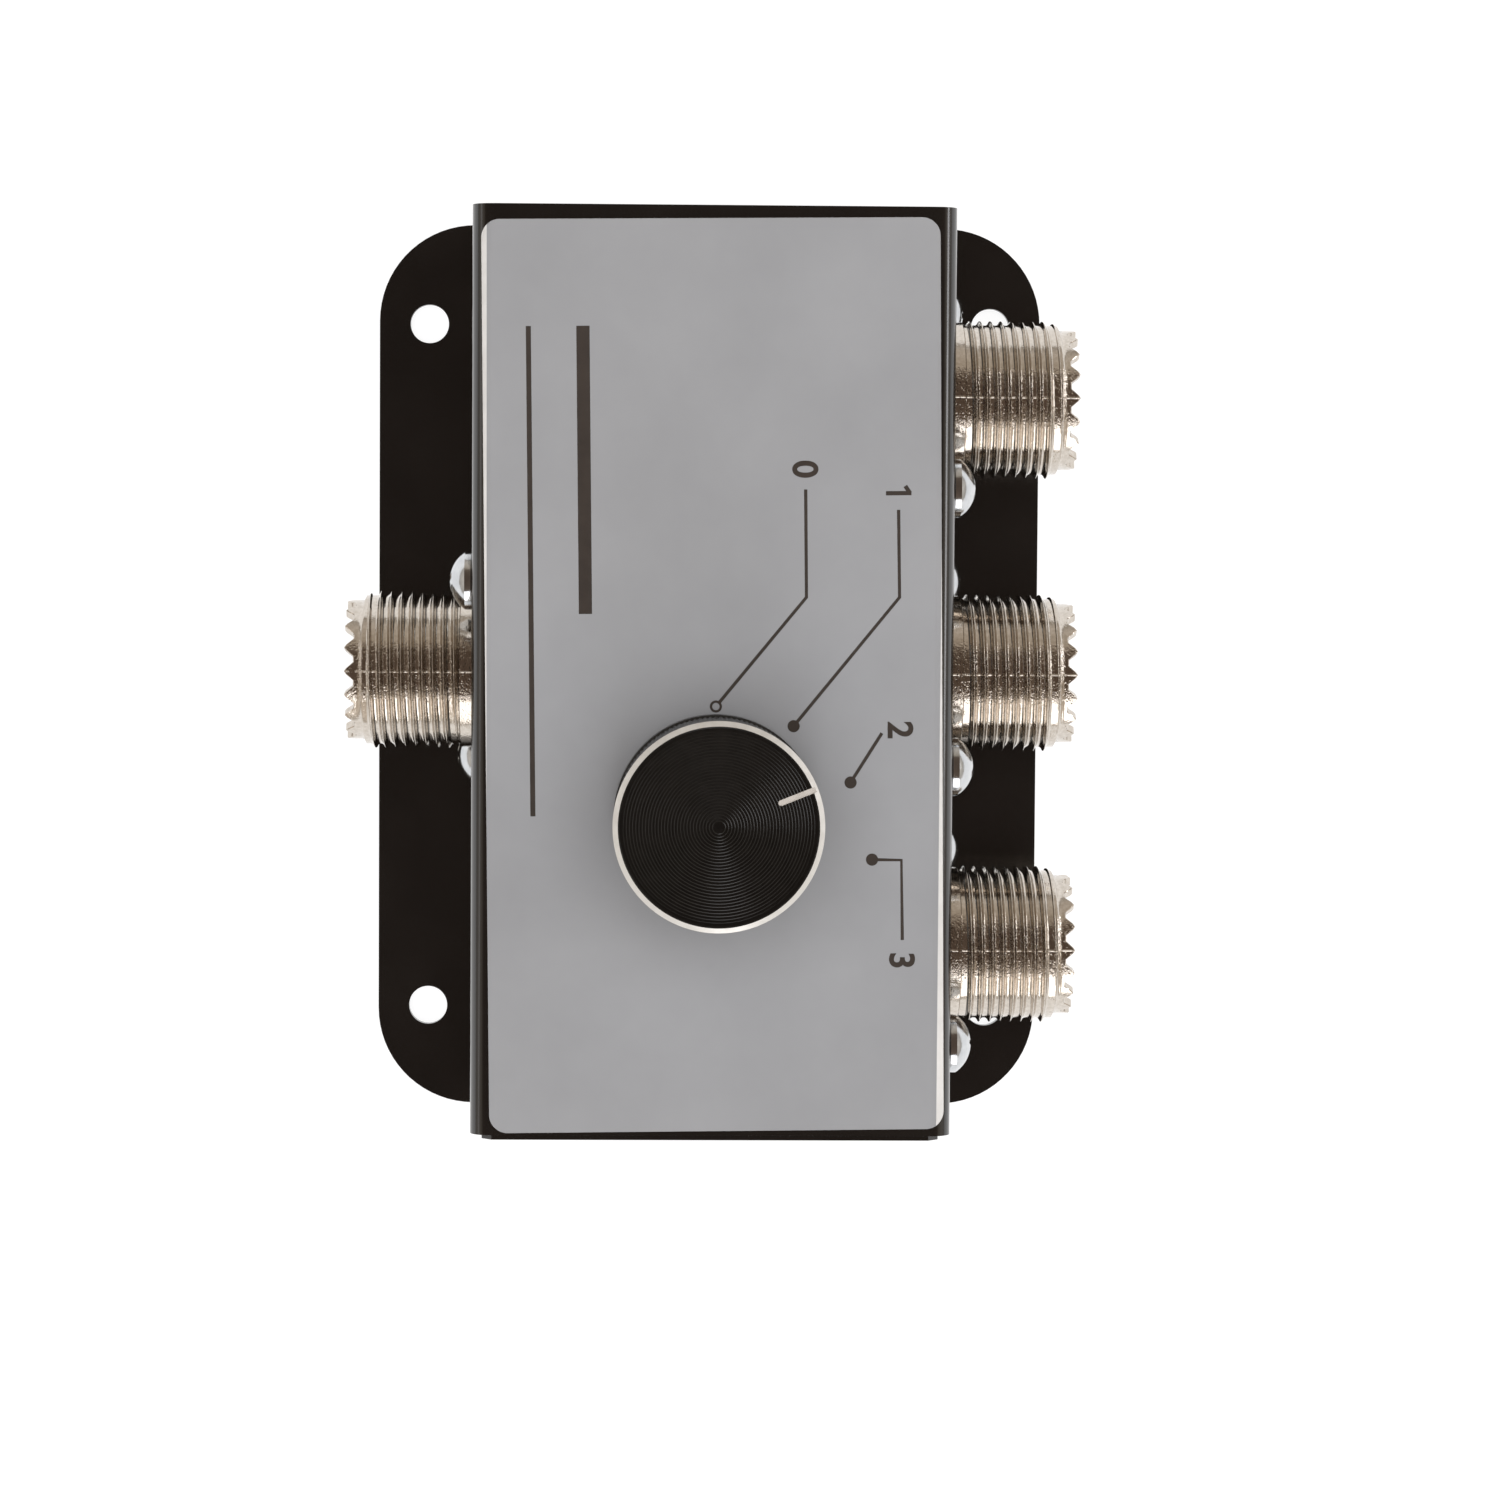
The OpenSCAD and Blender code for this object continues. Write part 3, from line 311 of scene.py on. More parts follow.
def black_enamel():
    """Black stoving enamel, sprayed on folded steel: semi-gloss, with a faint orange peel."""
    return mottled("black_enamel", {"IOR": 1.5, "Coat Weight": 0.6, "Coat Roughness": 0.14},
        colours=("#100E0D", "#171412"), grain_mm=9.0, bump_mm=0.9, rough=(0.15, 0.2),
        bump_strength=0.02)


def label_polyester():
    """Silver-grey polyester film with a satin top coat: soft cloudy sheen, no sparkle."""
    return mottled("label_polyester", {"IOR": 1.5},
        colours=("#95979A", "#9D9FA2"), grain_mm=16.0, bump_mm=0.4, rough=(0.36, 0.44),
        bump_strength=0.03)


def film_edge_and_sheen():
    """The cut edge of the polyester film, paler than its printed face; on the label's rounded rim
    and bends the same pale film is a painted sheen.
    """
    return mottled("film_edge_and_sheen", {"IOR": 1.5},
        colours=("#D6D6D4", "#E2E2E0"), grain_mm=3.0, bump_mm=0.3, rough=(0.35, 0.45),
        bump_strength=0.03)


def screen_ink():
    """Dark brown-black screen ink, laid thick enough to stand off the film: dull."""
    return mottled("screen_ink", {"IOR": 1.48},
        colours=("#332C27", "#3B332D"), grain_mm=2.0, bump_mm=0.25, rough=(0.5, 0.6),
        bump_strength=0.1)


def white_ptfe():
    """Turned white fluoropolymer: waxy, slightly translucent, with faint tool marks."""
    return mottled("white_ptfe",
        {"IOR": 1.38, "Subsurface Weight": 0.15, "Subsurface Scale": 0.5 * MM,
            "Subsurface Radius": (1.0, 1.0, 0.9)},
        colours=("#E6E3D8", "#EFEDE4"), grain_mm=5.0, bump_mm=0.3, rough=(0.38, 0.46),
        bump_strength=0.06)


def gold_flash():
    """Thin gold plate over nickelled brass: warm, smooth, bright."""
    return mottled("gold_flash", {"Metallic": 1.0},
        colours=("#D9A94E", "#E6BC68"), grain_mm=2.5, bump_mm=0.2, rough=(0.16, 0.26),
        bump_strength=0.06)


def bright_zinc():
    """Bright zinc plate on a cold-headed steel screw: cool, mirror-like, with small dents."""
    return mottled("bright_zinc", {"Metallic": 1.0},
        colours=("#C3C6C9", "#D6D8DA"), grain_mm=1.4, bump_mm=0.5, rough=(0.1, 0.2),
        bump_strength=0.12)


def black_oxide():
    """Black oxide on a steel screw: dark, slightly oily."""
    return mottled("black_oxide", {"Metallic": 0.7},
        colours=("#232222", "#302E2D"), grain_mm=1.5, bump_mm=0.2, rough=(0.34, 0.46),
        bump_strength=0.15)


def cast_zinc():
    """Zinc alloy as it leaves the die: dull grey with a fine cast skin."""
    return mottled("cast_zinc", {"Metallic": 1.0},
        colours=("#8C8B87", "#A3A29D"), grain_mm=3.0, bump_mm=0.35, rough=(0.4, 0.55),
        bump_strength=0.35)


def turned_steel():
    """Bright drawn and turned steel: clean grey metal with a soft gloss."""
    return mottled("turned_steel", {"Metallic": 1.0},
        colours=("#A9A9A6", "#BDBDBA"), grain_mm=2.0, bump_mm=0.15, rough=(0.2, 0.32),
        bump_strength=0.12)


def ivory_nylon():
    """Moulded natural nylon: ivory, faintly translucent, low gloss."""
    return mottled("ivory_nylon",
        {"IOR": 1.53, "Subsurface Weight": 0.1, "Subsurface Scale": 1.0 * MM,
            "Subsurface Radius": (1.0, 0.9, 0.7)},
        colours=("#D8CCAB", "#E2D8BC"), grain_mm=6.0, bump_mm=0.4, rough=(0.38, 0.48),
        bump_strength=0.08)


def phenolic_paper():
    """Punched phenolic paper board: tan brown, fibres showing in the resin."""
    return mottled("phenolic_paper", {"IOR": 1.55},
        colours=("#5F3A1E", "#7C5130"), grain_mm=0.8, bump_mm=0.3, rough=(0.4, 0.55),
        bump_strength=0.15)


def silver_plate():
    """Silver plate on spring brass: pale warm metal, lightly tarnished."""
    return mottled("silver_plate", {"Metallic": 1.0},
        colours=("#B9AE99", "#DAD3C6"), grain_mm=2.2, bump_mm=0.2, rough=(0.22, 0.36),
        bump_strength=0.1)


def rivet_brass():
    """Headed brass rivets: yellow metal, hammered smooth."""
    return mottled("rivet_brass", {"Metallic": 1.0},
        colours=("#A9864B", "#C7A366"), grain_mm=1.6, bump_mm=0.3, rough=(0.24, 0.36),
        bump_strength=0.2)


def tinned_copper():
    """Tinned copper wire: pale grey metal with a soft, uneven shine."""
    return mottled("tinned_copper", {"Metallic": 1.0},
        colours=("#ADA79C", "#C6C2BA"), grain_mm=1.5, bump_mm=0.25, rough=(0.28, 0.4),
        bump_strength=0.2)


def nickel_plate():
    """Nickel plate over cast zinc: warm mirror, pitted beside a fine parting line on top."""
    skin_mm, pit_mm, wear_mm = 0.45, 0.3, 1.6
    # Half the parting line's width, and the zone beside it that the buffing wheel didn't reach
    line_from, line_to = 0.02, 0.1
    zone_from, zone_to, pits_left = 2.4, 3.2, 0.12
    made, tree = new_material("nickel_plate")
    place = add_node(tree, "ShaderNodeTexCoord").outputs["Object"]
    skin = add_node(tree, "ShaderNodeTexNoise",
        {"Scale": per_metre(skin_mm), "Detail": 4.0, "Roughness": 0.62}, {"Vector": place})
    pits = add_node(tree, "ShaderNodeTexVoronoi", {"Scale": per_metre(pit_mm)}, {"Vector": place})
    pit_depth = add_node(tree, "ShaderNodeMapRange",
        {"From Min": 0.0, "From Max": 0.4, "To Min": 0.0, "To Max": 1.0},
        {"Value": pits.outputs["Distance"]})
    pitted = add_node(tree, "ShaderNodeMath", {"operation": "MULTIPLY"},
        {0: skin.outputs["Fac"], 1: pit_depth.outputs["Result"]})
    # The line runs along the top of each barrel, so it is found by the place across a socket pitch
    across = add_node(tree, "ShaderNodeSeparateXYZ", links={"Vector": place})
    wrapped = add_node(tree, "ShaderNodeMath",
        {"operation": "WRAP", 1: socket_pitch / 2 * MM, 2: -socket_pitch / 2 * MM},
        {0: across.outputs["X"]})
    off_line = add_node(tree, "ShaderNodeMath", {"operation": "ABSOLUTE"},
        {0: wrapped.outputs["Value"]})
    line = add_node(tree, "ShaderNodeMapRange",
        {"From Min": line_from * MM, "From Max": line_to * MM, "To Min": 1.0, "To Max": 0.0},
        {"Value": off_line.outputs["Value"]})
    unbuffed = add_node(tree, "ShaderNodeMapRange",
        {"From Min": zone_from * MM, "From Max": zone_to * MM, "To Min": 1.0, "To Max": pits_left},
        {"Value": off_line.outputs["Value"]})
    relief = add_node(tree, "ShaderNodeMath", {"operation": "MULTIPLY"},
        {0: pitted.outputs["Value"], 1: unbuffed.outputs["Result"]})
    worn = add_node(tree, "ShaderNodeTexNoise",
        {"Scale": per_metre(wear_mm), "Detail": 2.0}, {"Vector": place})
    kept = add_node(tree, "ShaderNodeMapRange",
        {"From Min": 0.3, "From Max": 0.45, "To Min": 0.0, "To Max": 1.0},
        {"Value": worn.outputs["Fac"]})
    broken = add_node(tree, "ShaderNodeMath", {"operation": "MULTIPLY"},
        {0: line.outputs["Result"], 1: kept.outputs["Result"]})
    skin_bump = add_node(tree, "ShaderNodeBump",
        {"Strength": 0.8, "Distance": 0.1 * MM}, {"Height": relief.outputs["Value"]})
    line_bump = add_node(tree, "ShaderNodeBump", {"Strength": 0.8, "Distance": 0.08 * MM},
        {"Height": broken.outputs["Value"], "Normal": skin_bump.outputs["Normal"]})
    colour = add_node(tree, "ShaderNodeValToRGB", links={"Fac": skin.outputs["Fac"]})
    set_stops(colour, [(NOISE_LOW, "#C1B8AD"), (NOISE_HIGH, "#D6CFC6")])
    gloss = add_node(tree, "ShaderNodeMapRange",
        {"From Min": NOISE_LOW, "From Max": NOISE_HIGH, "To Min": 0.09, "To Max": 0.17},
        {"Value": skin.outputs["Fac"]})
    shader = add_node(tree, "ShaderNodeBsdfPrincipled", {"Metallic": 1.0}, {
        "Base Color": colour.outputs["Color"],
        "Roughness": gloss.outputs["Result"],
        "Normal": line_bump.outputs["Normal"]})
    add_node(tree, "ShaderNodeOutputMaterial", links={"Surface": shader.outputs["BSDF"]})
    return made


def black_anodised():
    """Black anodised aluminium, fine turned: dark brown-black, with a fan of light round the axis.

    Its oxide is clear over metal, so it is part metallic.
    """
    grain_mm, bump_mm = 1.2, 0.12
    made, tree = new_material("black_anodised")
    place = add_node(tree, "ShaderNodeTexCoord").outputs["Object"]
    wander = add_node(tree, "ShaderNodeTexNoise",
        {"Scale": per_metre(grain_mm), "Detail": 4.0}, {"Vector": place})
    colour = add_node(tree, "ShaderNodeValToRGB", links={"Fac": wander.outputs["Fac"]})
    set_stops(colour, [(NOISE_LOW, "#090807"), (NOISE_HIGH, "#0E0C0A")])
    gloss = add_node(tree, "ShaderNodeMapRange",
        {"From Min": NOISE_LOW, "From Max": NOISE_HIGH, "To Min": 0.3, "To Max": 0.36},
        {"Value": wander.outputs["Fac"]})
    fine = add_node(tree, "ShaderNodeTexNoise",
        {"Scale": per_metre(bump_mm), "Detail": 2.0}, {"Vector": place})
    bump = add_node(tree, "ShaderNodeBump",
        {"Strength": 0.08, "Distance": 0.02 * MM}, {"Height": fine.outputs["Fac"]})
    shader = add_node(tree, "ShaderNodeBsdfPrincipled", {"IOR": 1.5, "Metallic": 0.15}, {
        "Base Color": colour.outputs["Color"],
        "Roughness": gloss.outputs["Result"],
        "Normal": bump.outputs["Normal"]})
    add_node(tree, "ShaderNodeOutputMaterial", links={"Surface": shader.outputs["BSDF"]})
    return made


def cut_aluminium():
    """Bare aluminium cut after anodising, on the knob's ring: near-white satin metal."""
    return mottled("cut_aluminium", {"Metallic": 1.0},
        colours=("#DCD9D4", "#E8E6E2"), grain_mm=1.0, bump_mm=0.1, rough=(0.28, 0.38),
        bump_strength=0.05)


def pointer_lacquer():
    """Pale grey lacquer wiped into the pointer's slot: satin, slightly uneven."""
    return mottled("pointer_lacquer", {"IOR": 1.48},
        colours=("#B9B4AC", "#CBC6BF"), grain_mm=1.2, bump_mm=0.15, rough=(0.4, 0.5),
        bump_strength=0.08)


SLOT_MATERIALS = {
    "black_enamel": black_enamel(),
    "label_film": label_polyester(),
    "nickel_plate": nickel_plate(),
    "white_ptfe": white_ptfe(),
    "gold_plate": gold_flash(),
    "black_steel": black_oxide(),
    "zinc_plate": bright_zinc(),
    "die_cast_zinc": cast_zinc(),
    "bright_steel": turned_steel(),
    "ivory_nylon": ivory_nylon(),
    "phenolic_board": phenolic_paper(),
    "silver_plate": silver_plate(),
    "brass": rivet_brass(),
    "tinned_copper": tinned_copper(),
    "black_anodised": black_anodised(),
}
INK = screen_ink()
# Pale film for the label's cut edge, and also its painted sheen on the rounded rim and bends
FILM_EDGE_AND_SHEEN = film_edge_and_sheen()
CUT_ALUMINIUM = cut_aluminium()
POINTER_LACQUER = pointer_lacquer()


# Modelling helpers
def only(piece):
    """Makes this piece the one that is selected and active."""
    bpy.ops.object.select_all(action="DESELECT")
    piece.select_set(True)
    bpy.context.view_layer.objects.active = piece


def edit(piece, kind="VERT"):
    """Opens a piece in edit mode with nothing selected."""
    only(piece)
    bpy.ops.object.mode_set(mode="EDIT")
    bpy.ops.mesh.select_mode(type=kind)
    bpy.ops.mesh.select_all(action="DESELECT")


def done():
    """Leaves edit mode."""
    bpy.ops.object.mode_set(mode="OBJECT")


def pick(piece, parts, test):
    """Selects the vertices, edges or faces of the open piece that pass the test, and no others."""
    mesh = bmesh.from_edit_mesh(piece.data)
    bpy.ops.mesh.select_all(action="DESELECT")
    for part in getattr(mesh, parts):
        if test(part):
            part.select_set(True)
    bmesh.update_edit_mesh(piece.data)


def radius_of(place):
    """How far a place lies from the Z axis, in millimetres."""
    return math.hypot(place.x, place.y) / MM


def column_of(place, sides):
    """Which of the columns round the Z axis a place stands in."""
    return round(math.atan2(place.y, place.x) / (2 * math.pi) * sides)


def apply_modifier(piece, kind, **settings):
    """Adds a modifier with its settings and applies it."""
    only(piece)
    modifier = piece.modifiers.new(kind.lower(), kind)
    for key, value in settings.items():
        setattr(modifier, key, value)
    bpy.ops.object.modifier_apply(modifier=modifier.name)


def apply_place(piece):
    """Puts the piece's place into its mesh."""
    only(piece)
    bpy.ops.object.transform_apply(location=True, rotation=True, scale=True)


def merge_all(piece):
    """Merges doubles and turns every face outwards."""
    edit(piece)
    bpy.ops.mesh.select_all(action="SELECT")
    bpy.ops.mesh.remove_doubles(threshold=MERGE_WITHIN * MM)
    bpy.ops.mesh.normals_make_consistent(inside=False)
    done()


def draw_line(name, points, closed=False):
    """A line through points, extruded from one vertex and left open in edit mode."""
    bpy.ops.object.select_all(action="DESELECT")
    bpy.ops.mesh.primitive_plane_add(size=MM, location=(0, 0, 0))
    piece = bpy.context.object
    piece.name = name
    bpy.ops.object.mode_set(mode="EDIT")
    bpy.ops.mesh.select_mode(type="VERT")
    bpy.ops.mesh.select_all(action="SELECT")
    bpy.ops.mesh.merge(type="CENTER")
    bpy.ops.transform.translate(value=Vector(points[0]) * MM)
    for here, there in zip(points, points[1:]):
        step = (Vector(there) - Vector(here)) * MM
        bpy.ops.mesh.extrude_vertices_move(TRANSFORM_OT_translate={"value": step})
    if closed:
        ends = (Vector(points[0]), Vector(points[-1]))
        pick(piece, "verts", lambda v: min((v.co / MM - end).length for end in ends) < END_WITHIN)
        bpy.ops.mesh.edge_face_add()
    return piece


def turned(name, points, sides):
    """A turned piece: its half section of (radius, height), spun round the Z axis."""
    piece = draw_line(name, [(r, 0, z) for r, z in points])
    bpy.ops.mesh.select_all(action="SELECT")
    bpy.ops.mesh.spin(steps=sides, angle=2 * math.pi, center=(0, 0, 0), axis=(0, 0, 1))
    done()
    merge_all(piece)
    return piece


def cut_away(piece, cutter, **settings):
    """Cuts one piece out of another and removes the cutter."""
    apply_modifier(piece, "BOOLEAN", operation="DIFFERENCE", solver="EXACT", object=cutter,
        **settings)
    bpy.data.objects.remove(cutter)


def copy_of(source, name):
    """A copy of a piece or a node with a mesh of its own and no custom data, at the origin."""
    piece = source.copy()
    piece.data = source.data.copy()
    piece.name = name
    for key in list(piece.keys()):
        del piece[key]
    piece.parent = None
    piece.matrix_world = Matrix.Identity(4)
    bpy.context.scene.collection.objects.link(piece)
    piece.hide_render = False
    piece.hide_viewport = False
    return piece


def join(pieces, name):
    """Joins pieces into the first one."""
    only(pieces[0])
    for piece in pieces[1:]:
        piece.select_set(True)
    bpy.ops.object.join()
    pieces[0].name = name
    return pieces[0]


def smooth(piece, angle=30):
    """Smooth shading up to an angle, the large flat faces keeping their own normals."""
    only(piece)
    bpy.ops.object.shade_smooth_by_angle(angle=math.radians(angle))
    apply_modifier(piece, "WEIGHTED_NORMAL", keep_sharp=True)


def paint(piece, material):
    """Gives the whole piece one material."""
    piece.data.materials.clear()
    piece.data.materials.append(material)


def finish_piece(piece, body, slot, *replaced):
    """Lets a piece ride on its body and hides the nodes that it stands for; its slot is not used.
    """
    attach(piece, body)
    if replaced:
        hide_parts(*replaced)


# Camera
def add_camera():
    """The photograph's view."""
    data = bpy.data.cameras.new("camera")
    camera = bpy.data.objects.new("camera", data)
    bpy.context.scene.collection.objects.link(camera)
    camera.location = [c * MM for c in CAMERA_PLACE]
    camera.rotation_euler = [math.radians(a) for a in CAMERA_TURN]
    data.sensor_width = CAMERA_SENSOR_W
    data.lens = CAMERA_LENS
    data.clip_start = CAMERA_NEAREST * MM
    bpy.context.scene.camera = camera


add_camera()


# Folded sheet pieces and the label, with the small rounds that a press and a spray gun leave
def softened(node, name, round_mm):
    """A copy of a node whose sharp edges are rounded."""
    piece = copy_of(frame["nodes"][node], name)
    merge_all(piece)
    apply_modifier(piece, "DECIMATE", decimate_type="DISSOLVE",
        angle_limit=math.radians(SHEET_FLAT_ANGLE))
    apply_modifier(piece, "BEVEL", width=round_mm * MM, segments=SHEET_ROUND_SEGMENTS,
        limit_method="ANGLE", angle_limit=math.radians(SHEET_SHARP_ANGLE),
        use_clamp_overlap=True, harden_normals=False)
    smooth(piece)
    return piece


def paint_edge_and_sheen(label):
    """Shows the bare film round the label's edge, and paints a sheen on the label's rounded rim and
    bends.
    """
    label.data.materials.append(FILM_EDGE_AND_SHEEN)
    edit(label, "FACE")
    # Every face that tilts from straight up turns pale: the cut edge, and a painted sheen on the
    # rounded rim and bends
    pick(label, "faces", lambda f: f.normal.z < LABEL_FACE_UPRIGHT)
    label.active_material_index = 1
    bpy.ops.object.material_slot_assign()
    done()


def make_sheet_pieces():
    """The base plate, the cover and the label film."""
    for node, (slot, round_mm) in SHEET_PIECES.items():
        piece = softened(node, node + "_finished", round_mm)
        paint(piece, SLOT_MATERIALS[slot])
        # The label gets its pale cut edge, and the painted sheen on its rounded rim and bends
        if node == "label_film":
            paint_edge_and_sheen(piece)
        finish_piece(piece, "chassis", slot, node)


make_sheet_pieces()


# Sockets: the place of each along the row, in pitches, and the side that it points to
SOCKETS = {"input": (0, -1), "output_1": (-1, 1), "output_2": (0, 1), "output_3": (1, 1)}


def put_at_socket(piece, column, side):
    """Moves an upright piece to a socket: its +Z runs out of the box, from the wall's outside."""
    piece.rotation_euler = (-side * math.pi / 2, 0, 0)
    piece.location = Vector((column * socket_pitch, side * case_half_w, socket_z)) * MM
    apply_place(piece)


def make_barrel():
    """Collar, core, neck and toothed rim of a socket, upright, with the wall's outside at 0."""
    thread_end = COLLAR_L + THREAD_TURNS * THREAD_PITCH
    rim = thread_end + NECK_L + TOOTH_DEPTH
    tooth_foot = rim - TOOTH_DEPTH - NEAR
    root_r = THREAD_D / 2 - THREAD_DEPTH
    bore_r = SHELL_BORE_D / 2
    neck_r = NECK_D / 2
    # The last point before the rim gives the neck's shading a loop below the teeth
    barrel = turned("barrel", [
        (bore_r, rim), (bore_r, -BARREL_SINK), (COLLAR_D / 2, -BARREL_SINK),
        (COLLAR_D / 2, COLLAR_L), (root_r, COLLAR_L), (root_r, thread_end),
        (neck_r, thread_end + NECK_SLOPE_L), (neck_r, thread_end + NECK_L - NECK_SLOPE_L),
        (neck_r, rim), (bore_r, rim)], BARREL_SIDES)
    # Every tooth takes eight columns of the rim, its tip in the fifth
    steps = BARREL_SIDES // TOOTH_COUNT
    edit(barrel)
    for step, drop in enumerate(TOOTH_DROPS, 1):

        def in_step(v):
            column = column_of(v.co, BARREL_SIDES) % steps
            return v.co.z > (rim - NEAR) * MM and abs(column - steps // 2) == step

        pick(barrel, "verts", in_step)
        bpy.ops.transform.translate(value=(0, 0, -drop * TOOTH_DEPTH * MM))
    done()

    def at_collar_end(e):
        """On the outer corner between the collar and the thread."""
        return all(abs(v.co.z / MM - COLLAR_L) < NEAR
            and abs(radius_of(v.co) * 2 - COLLAR_D) < NEAR for v in e.verts)

    def at_tooth(e):
        """Between the outside of the rim and the cut of a tooth."""
        if len(e.link_faces) != 2 or min(v.co.z / MM for v in e.verts) < tooth_foot:
            return False
        outward = [f.normal.dot(f.calc_center_median().to_2d().to_3d().normalized())
            for f in e.link_faces]
        return max(outward) > 0.9 and min(outward) < 0.5

    for test, width in ((at_collar_end, COLLAR_BEVEL), (at_tooth, TOOTH_BEVEL)):
        edit(barrel, "EDGE")
        pick(barrel, "edges", test)
        bpy.ops.mesh.bevel(offset=width * MM, segments=1, affect="EDGES", clamp_overlap=False)
        done()
    return barrel


def thread_section():
    """The ridge's section as (radius, height), from its upper foot over the crest to the lower."""
    root_r = THREAD_D / 2 - THREAD_DEPTH
    half = THREAD_PITCH / 2 + RIDGE_LAP
    crest = [(THREAD_D / 2 - CREST_ROUND * (1 - math.cos(a)), CREST_ROUND * math.sin(a))
        for a in map(math.radians, CREST_ANGLES)]
    foot_r, foot_w = crest[0]
    flank = [(root_r + (foot_r - root_r) * rise ** GROOVE_CURVE, half - (half - foot_w) * rise)
        for rise in GROOVE_SHARES] + crest
    upper, lower = (root_r - RIDGE_SINK, half), (root_r - RIDGE_SINK, -half)
    return [upper] + flank + [(r, -z) for r, z in reversed(flank)] + [lower]


def make_thread():
    """The thread's ridge: sharp crests between hollow grooves, right-handed, fading at its ends."""
    start = COLLAR_L + THREAD_PITCH * RIDGE_START
    turns = THREAD_TURNS - RIDGE_SHORT
    ridge = draw_line("thread", [(r, 0, start + z) for r, z in thread_section()], closed=True)
    done()
    steps = round(turns * BARREL_SIDES)
    apply_modifier(ridge, "SCREW", angle=math.radians(360 * turns),
        screw_offset=turns * THREAD_PITCH * MM, steps=steps, render_steps=steps,
        use_merge_vertices=False)
    edit(ridge, "EDGE")
    bpy.ops.mesh.select_non_manifold()
    bpy.ops.mesh.edge_face_add()
    done()
    merge_all(ridge)

    def turn_of(v):
        """How many turns along the ridge a vertex lies."""
        part = math.atan2(v.co.y, v.co.x) / (2 * math.pi)
        return round((v.co.z / MM - start) / THREAD_PITCH - part) + part

    # Step by step, a shorter stretch of each end is drawn in, down to the core at the very end
    root_r = THREAD_D / 2 - THREAD_DEPTH
    shrink = (root_r / (THREAD_D / 2)) ** (1 / FADE_STEPS)
    edit(ridge)
    for step in range(1, FADE_STEPS + 1):
        share = step / FADE_STEPS
        pick(ridge, "verts",
            lambda v: turn_of(v) < FADE_IN * share or turns - turn_of(v) < FADE_OUT * share)
        bpy.ops.transform.resize(value=(shrink, shrink, 1), center_override=(0, 0, 0))
    done()
    return ridge


def make_flange():
    """The square flange of the middle output, cut off its shell inside the hole in the wall."""
    flange = copy_of(frame["nodes"]["output_2_socket_shell"], "flange")
    merge_all(flange)
    edit(flange)
    bpy.ops.mesh.select_all(action="SELECT")
    bpy.ops.mesh.bisect(plane_co=(0, (case_half_w - FLANGE_CUT_DEPTH) * MM, 0),
        plane_no=(0, 1, 0), use_fill=True, clear_outer=True)
    done()
    return flange


def make_shells():
    """The middle output's shell, copied to the other outputs and turned over for the input."""
    barrel, thread = make_barrel(), make_thread()
    for piece in (barrel, thread):
        put_at_socket(piece, *SOCKETS["output_2"])
    model = join([barrel, thread, make_flange()], "socket_shell")
    paint(model, SLOT_MATERIALS["nickel_plate"])
    for name, (column, side) in SOCKETS.items():
        shell = copy_of(model, name + "_socket_shell_finished")
        if side < 0:
            shell.rotation_euler = (math.pi, 0, 0)
            shell.location.z = 2 * socket_z * MM
        shell.location.x = column * socket_pitch * MM
        apply_place(shell)
        smooth(shell)
        finish_piece(shell, "chassis", "nickel_plate", name + "_socket_shell")
    bpy.data.objects.remove(model)


make_shells()


# Socket screws
def arc(middle, radius, first, last, count):
    """Points of (radius, height) on an arc, its angles in degrees measured from straight up."""
    angles = [math.radians(first + (last - first) * i / count) for i in range(count + 1)]
    return [(middle[0] + radius * math.sin(a), middle[1] + radius * math.cos(a)) for a in angles]


def make_cross_arm(turn):
    """One arm of the driver's cross, tapered towards its point."""
    bpy.ops.object.select_all(action="DESELECT")
    bpy.ops.mesh.primitive_cube_add(size=MM,
        location=(0, 0, (SCREW_HEAD_H - CROSS_MIDDLE_DEPTH) * MM))
    arm = bpy.context.object
    arm.scale = CROSS_ARM_SIZE
    arm.rotation_euler.z = turn
    apply_place(arm)
    edit(arm)
    pick(arm, "verts", lambda v: v.co.z < SCREW_HEAD_H * MM / 2)
    bpy.ops.transform.resize(value=(CROSS_FOOT_SHARE, CROSS_FOOT_SHARE, 1),
        center_override=(0, 0, 0))
    done()
    return arm


def make_screw():
    """Pan head with a cross recess on a plain shank, upright, its seat at 0."""
    head_r = SCREW_HEAD_D / 2
    cap = SCREW_HEAD_H - SCREW_RIM_H
    dome_r = (head_r ** 2 + cap ** 2) / (2 * cap)
    rim_angle = math.degrees(math.asin(head_r / dome_r))
    shank_r = SCREW_SHANK_D / 2
    dome = arc((0, SCREW_HEAD_H - dome_r), dome_r, rim_angle, 0, SCREW_DOME_STEPS)
    screw = turned("screw", [
        (0, -SCREW_SHANK_L), (shank_r - SCREW_POINT_CHAMFER, -SCREW_SHANK_L),
        (shank_r, SCREW_POINT_CHAMFER - SCREW_SHANK_L), (shank_r, 0),
        (head_r - SCREW_RIM_CHAMFER, 0), (head_r, SCREW_RIM_CHAMFER),
        (head_r, SCREW_RIM_H)] + dome[1:], SCREW_SIDES)
    for turn in (0, math.pi / 2):
        cut_away(screw, make_cross_arm(turn))
    apply_modifier(screw, "BEVEL", width=SCREW_BEVEL * MM, segments=2, limit_method="ANGLE",
        angle_limit=math.radians(SCREW_SHARP_ANGLE), use_clamp_overlap=True)
    return screw


def make_screws():
    """All eight screws as one piece, two a socket on a diagonal of its flange."""
    model = make_screw()
    diagonal = FLANGE_HOLE_PITCH / 2
    screws = []
    for column, side in SOCKETS.values():
        for x in (-1, 1):
            screw = copy_of(model, "screw_copy")
            screw.rotation_euler.z = math.radians(SCREW_TURNS[len(screws)])
            screw.location = (x * diagonal * MM, -x * diagonal * MM, 0)
            apply_place(screw)
            put_at_socket(screw, column, side)
            screws.append(screw)
    bpy.data.objects.remove(model)
    piece = join(screws, "socket_screws_finished")
    paint(piece, SLOT_MATERIALS["zinc_plate"])
    smooth(piece, angle=35)
    finish_piece(piece, "chassis", "zinc_plate", "socket_screws")


make_screws()


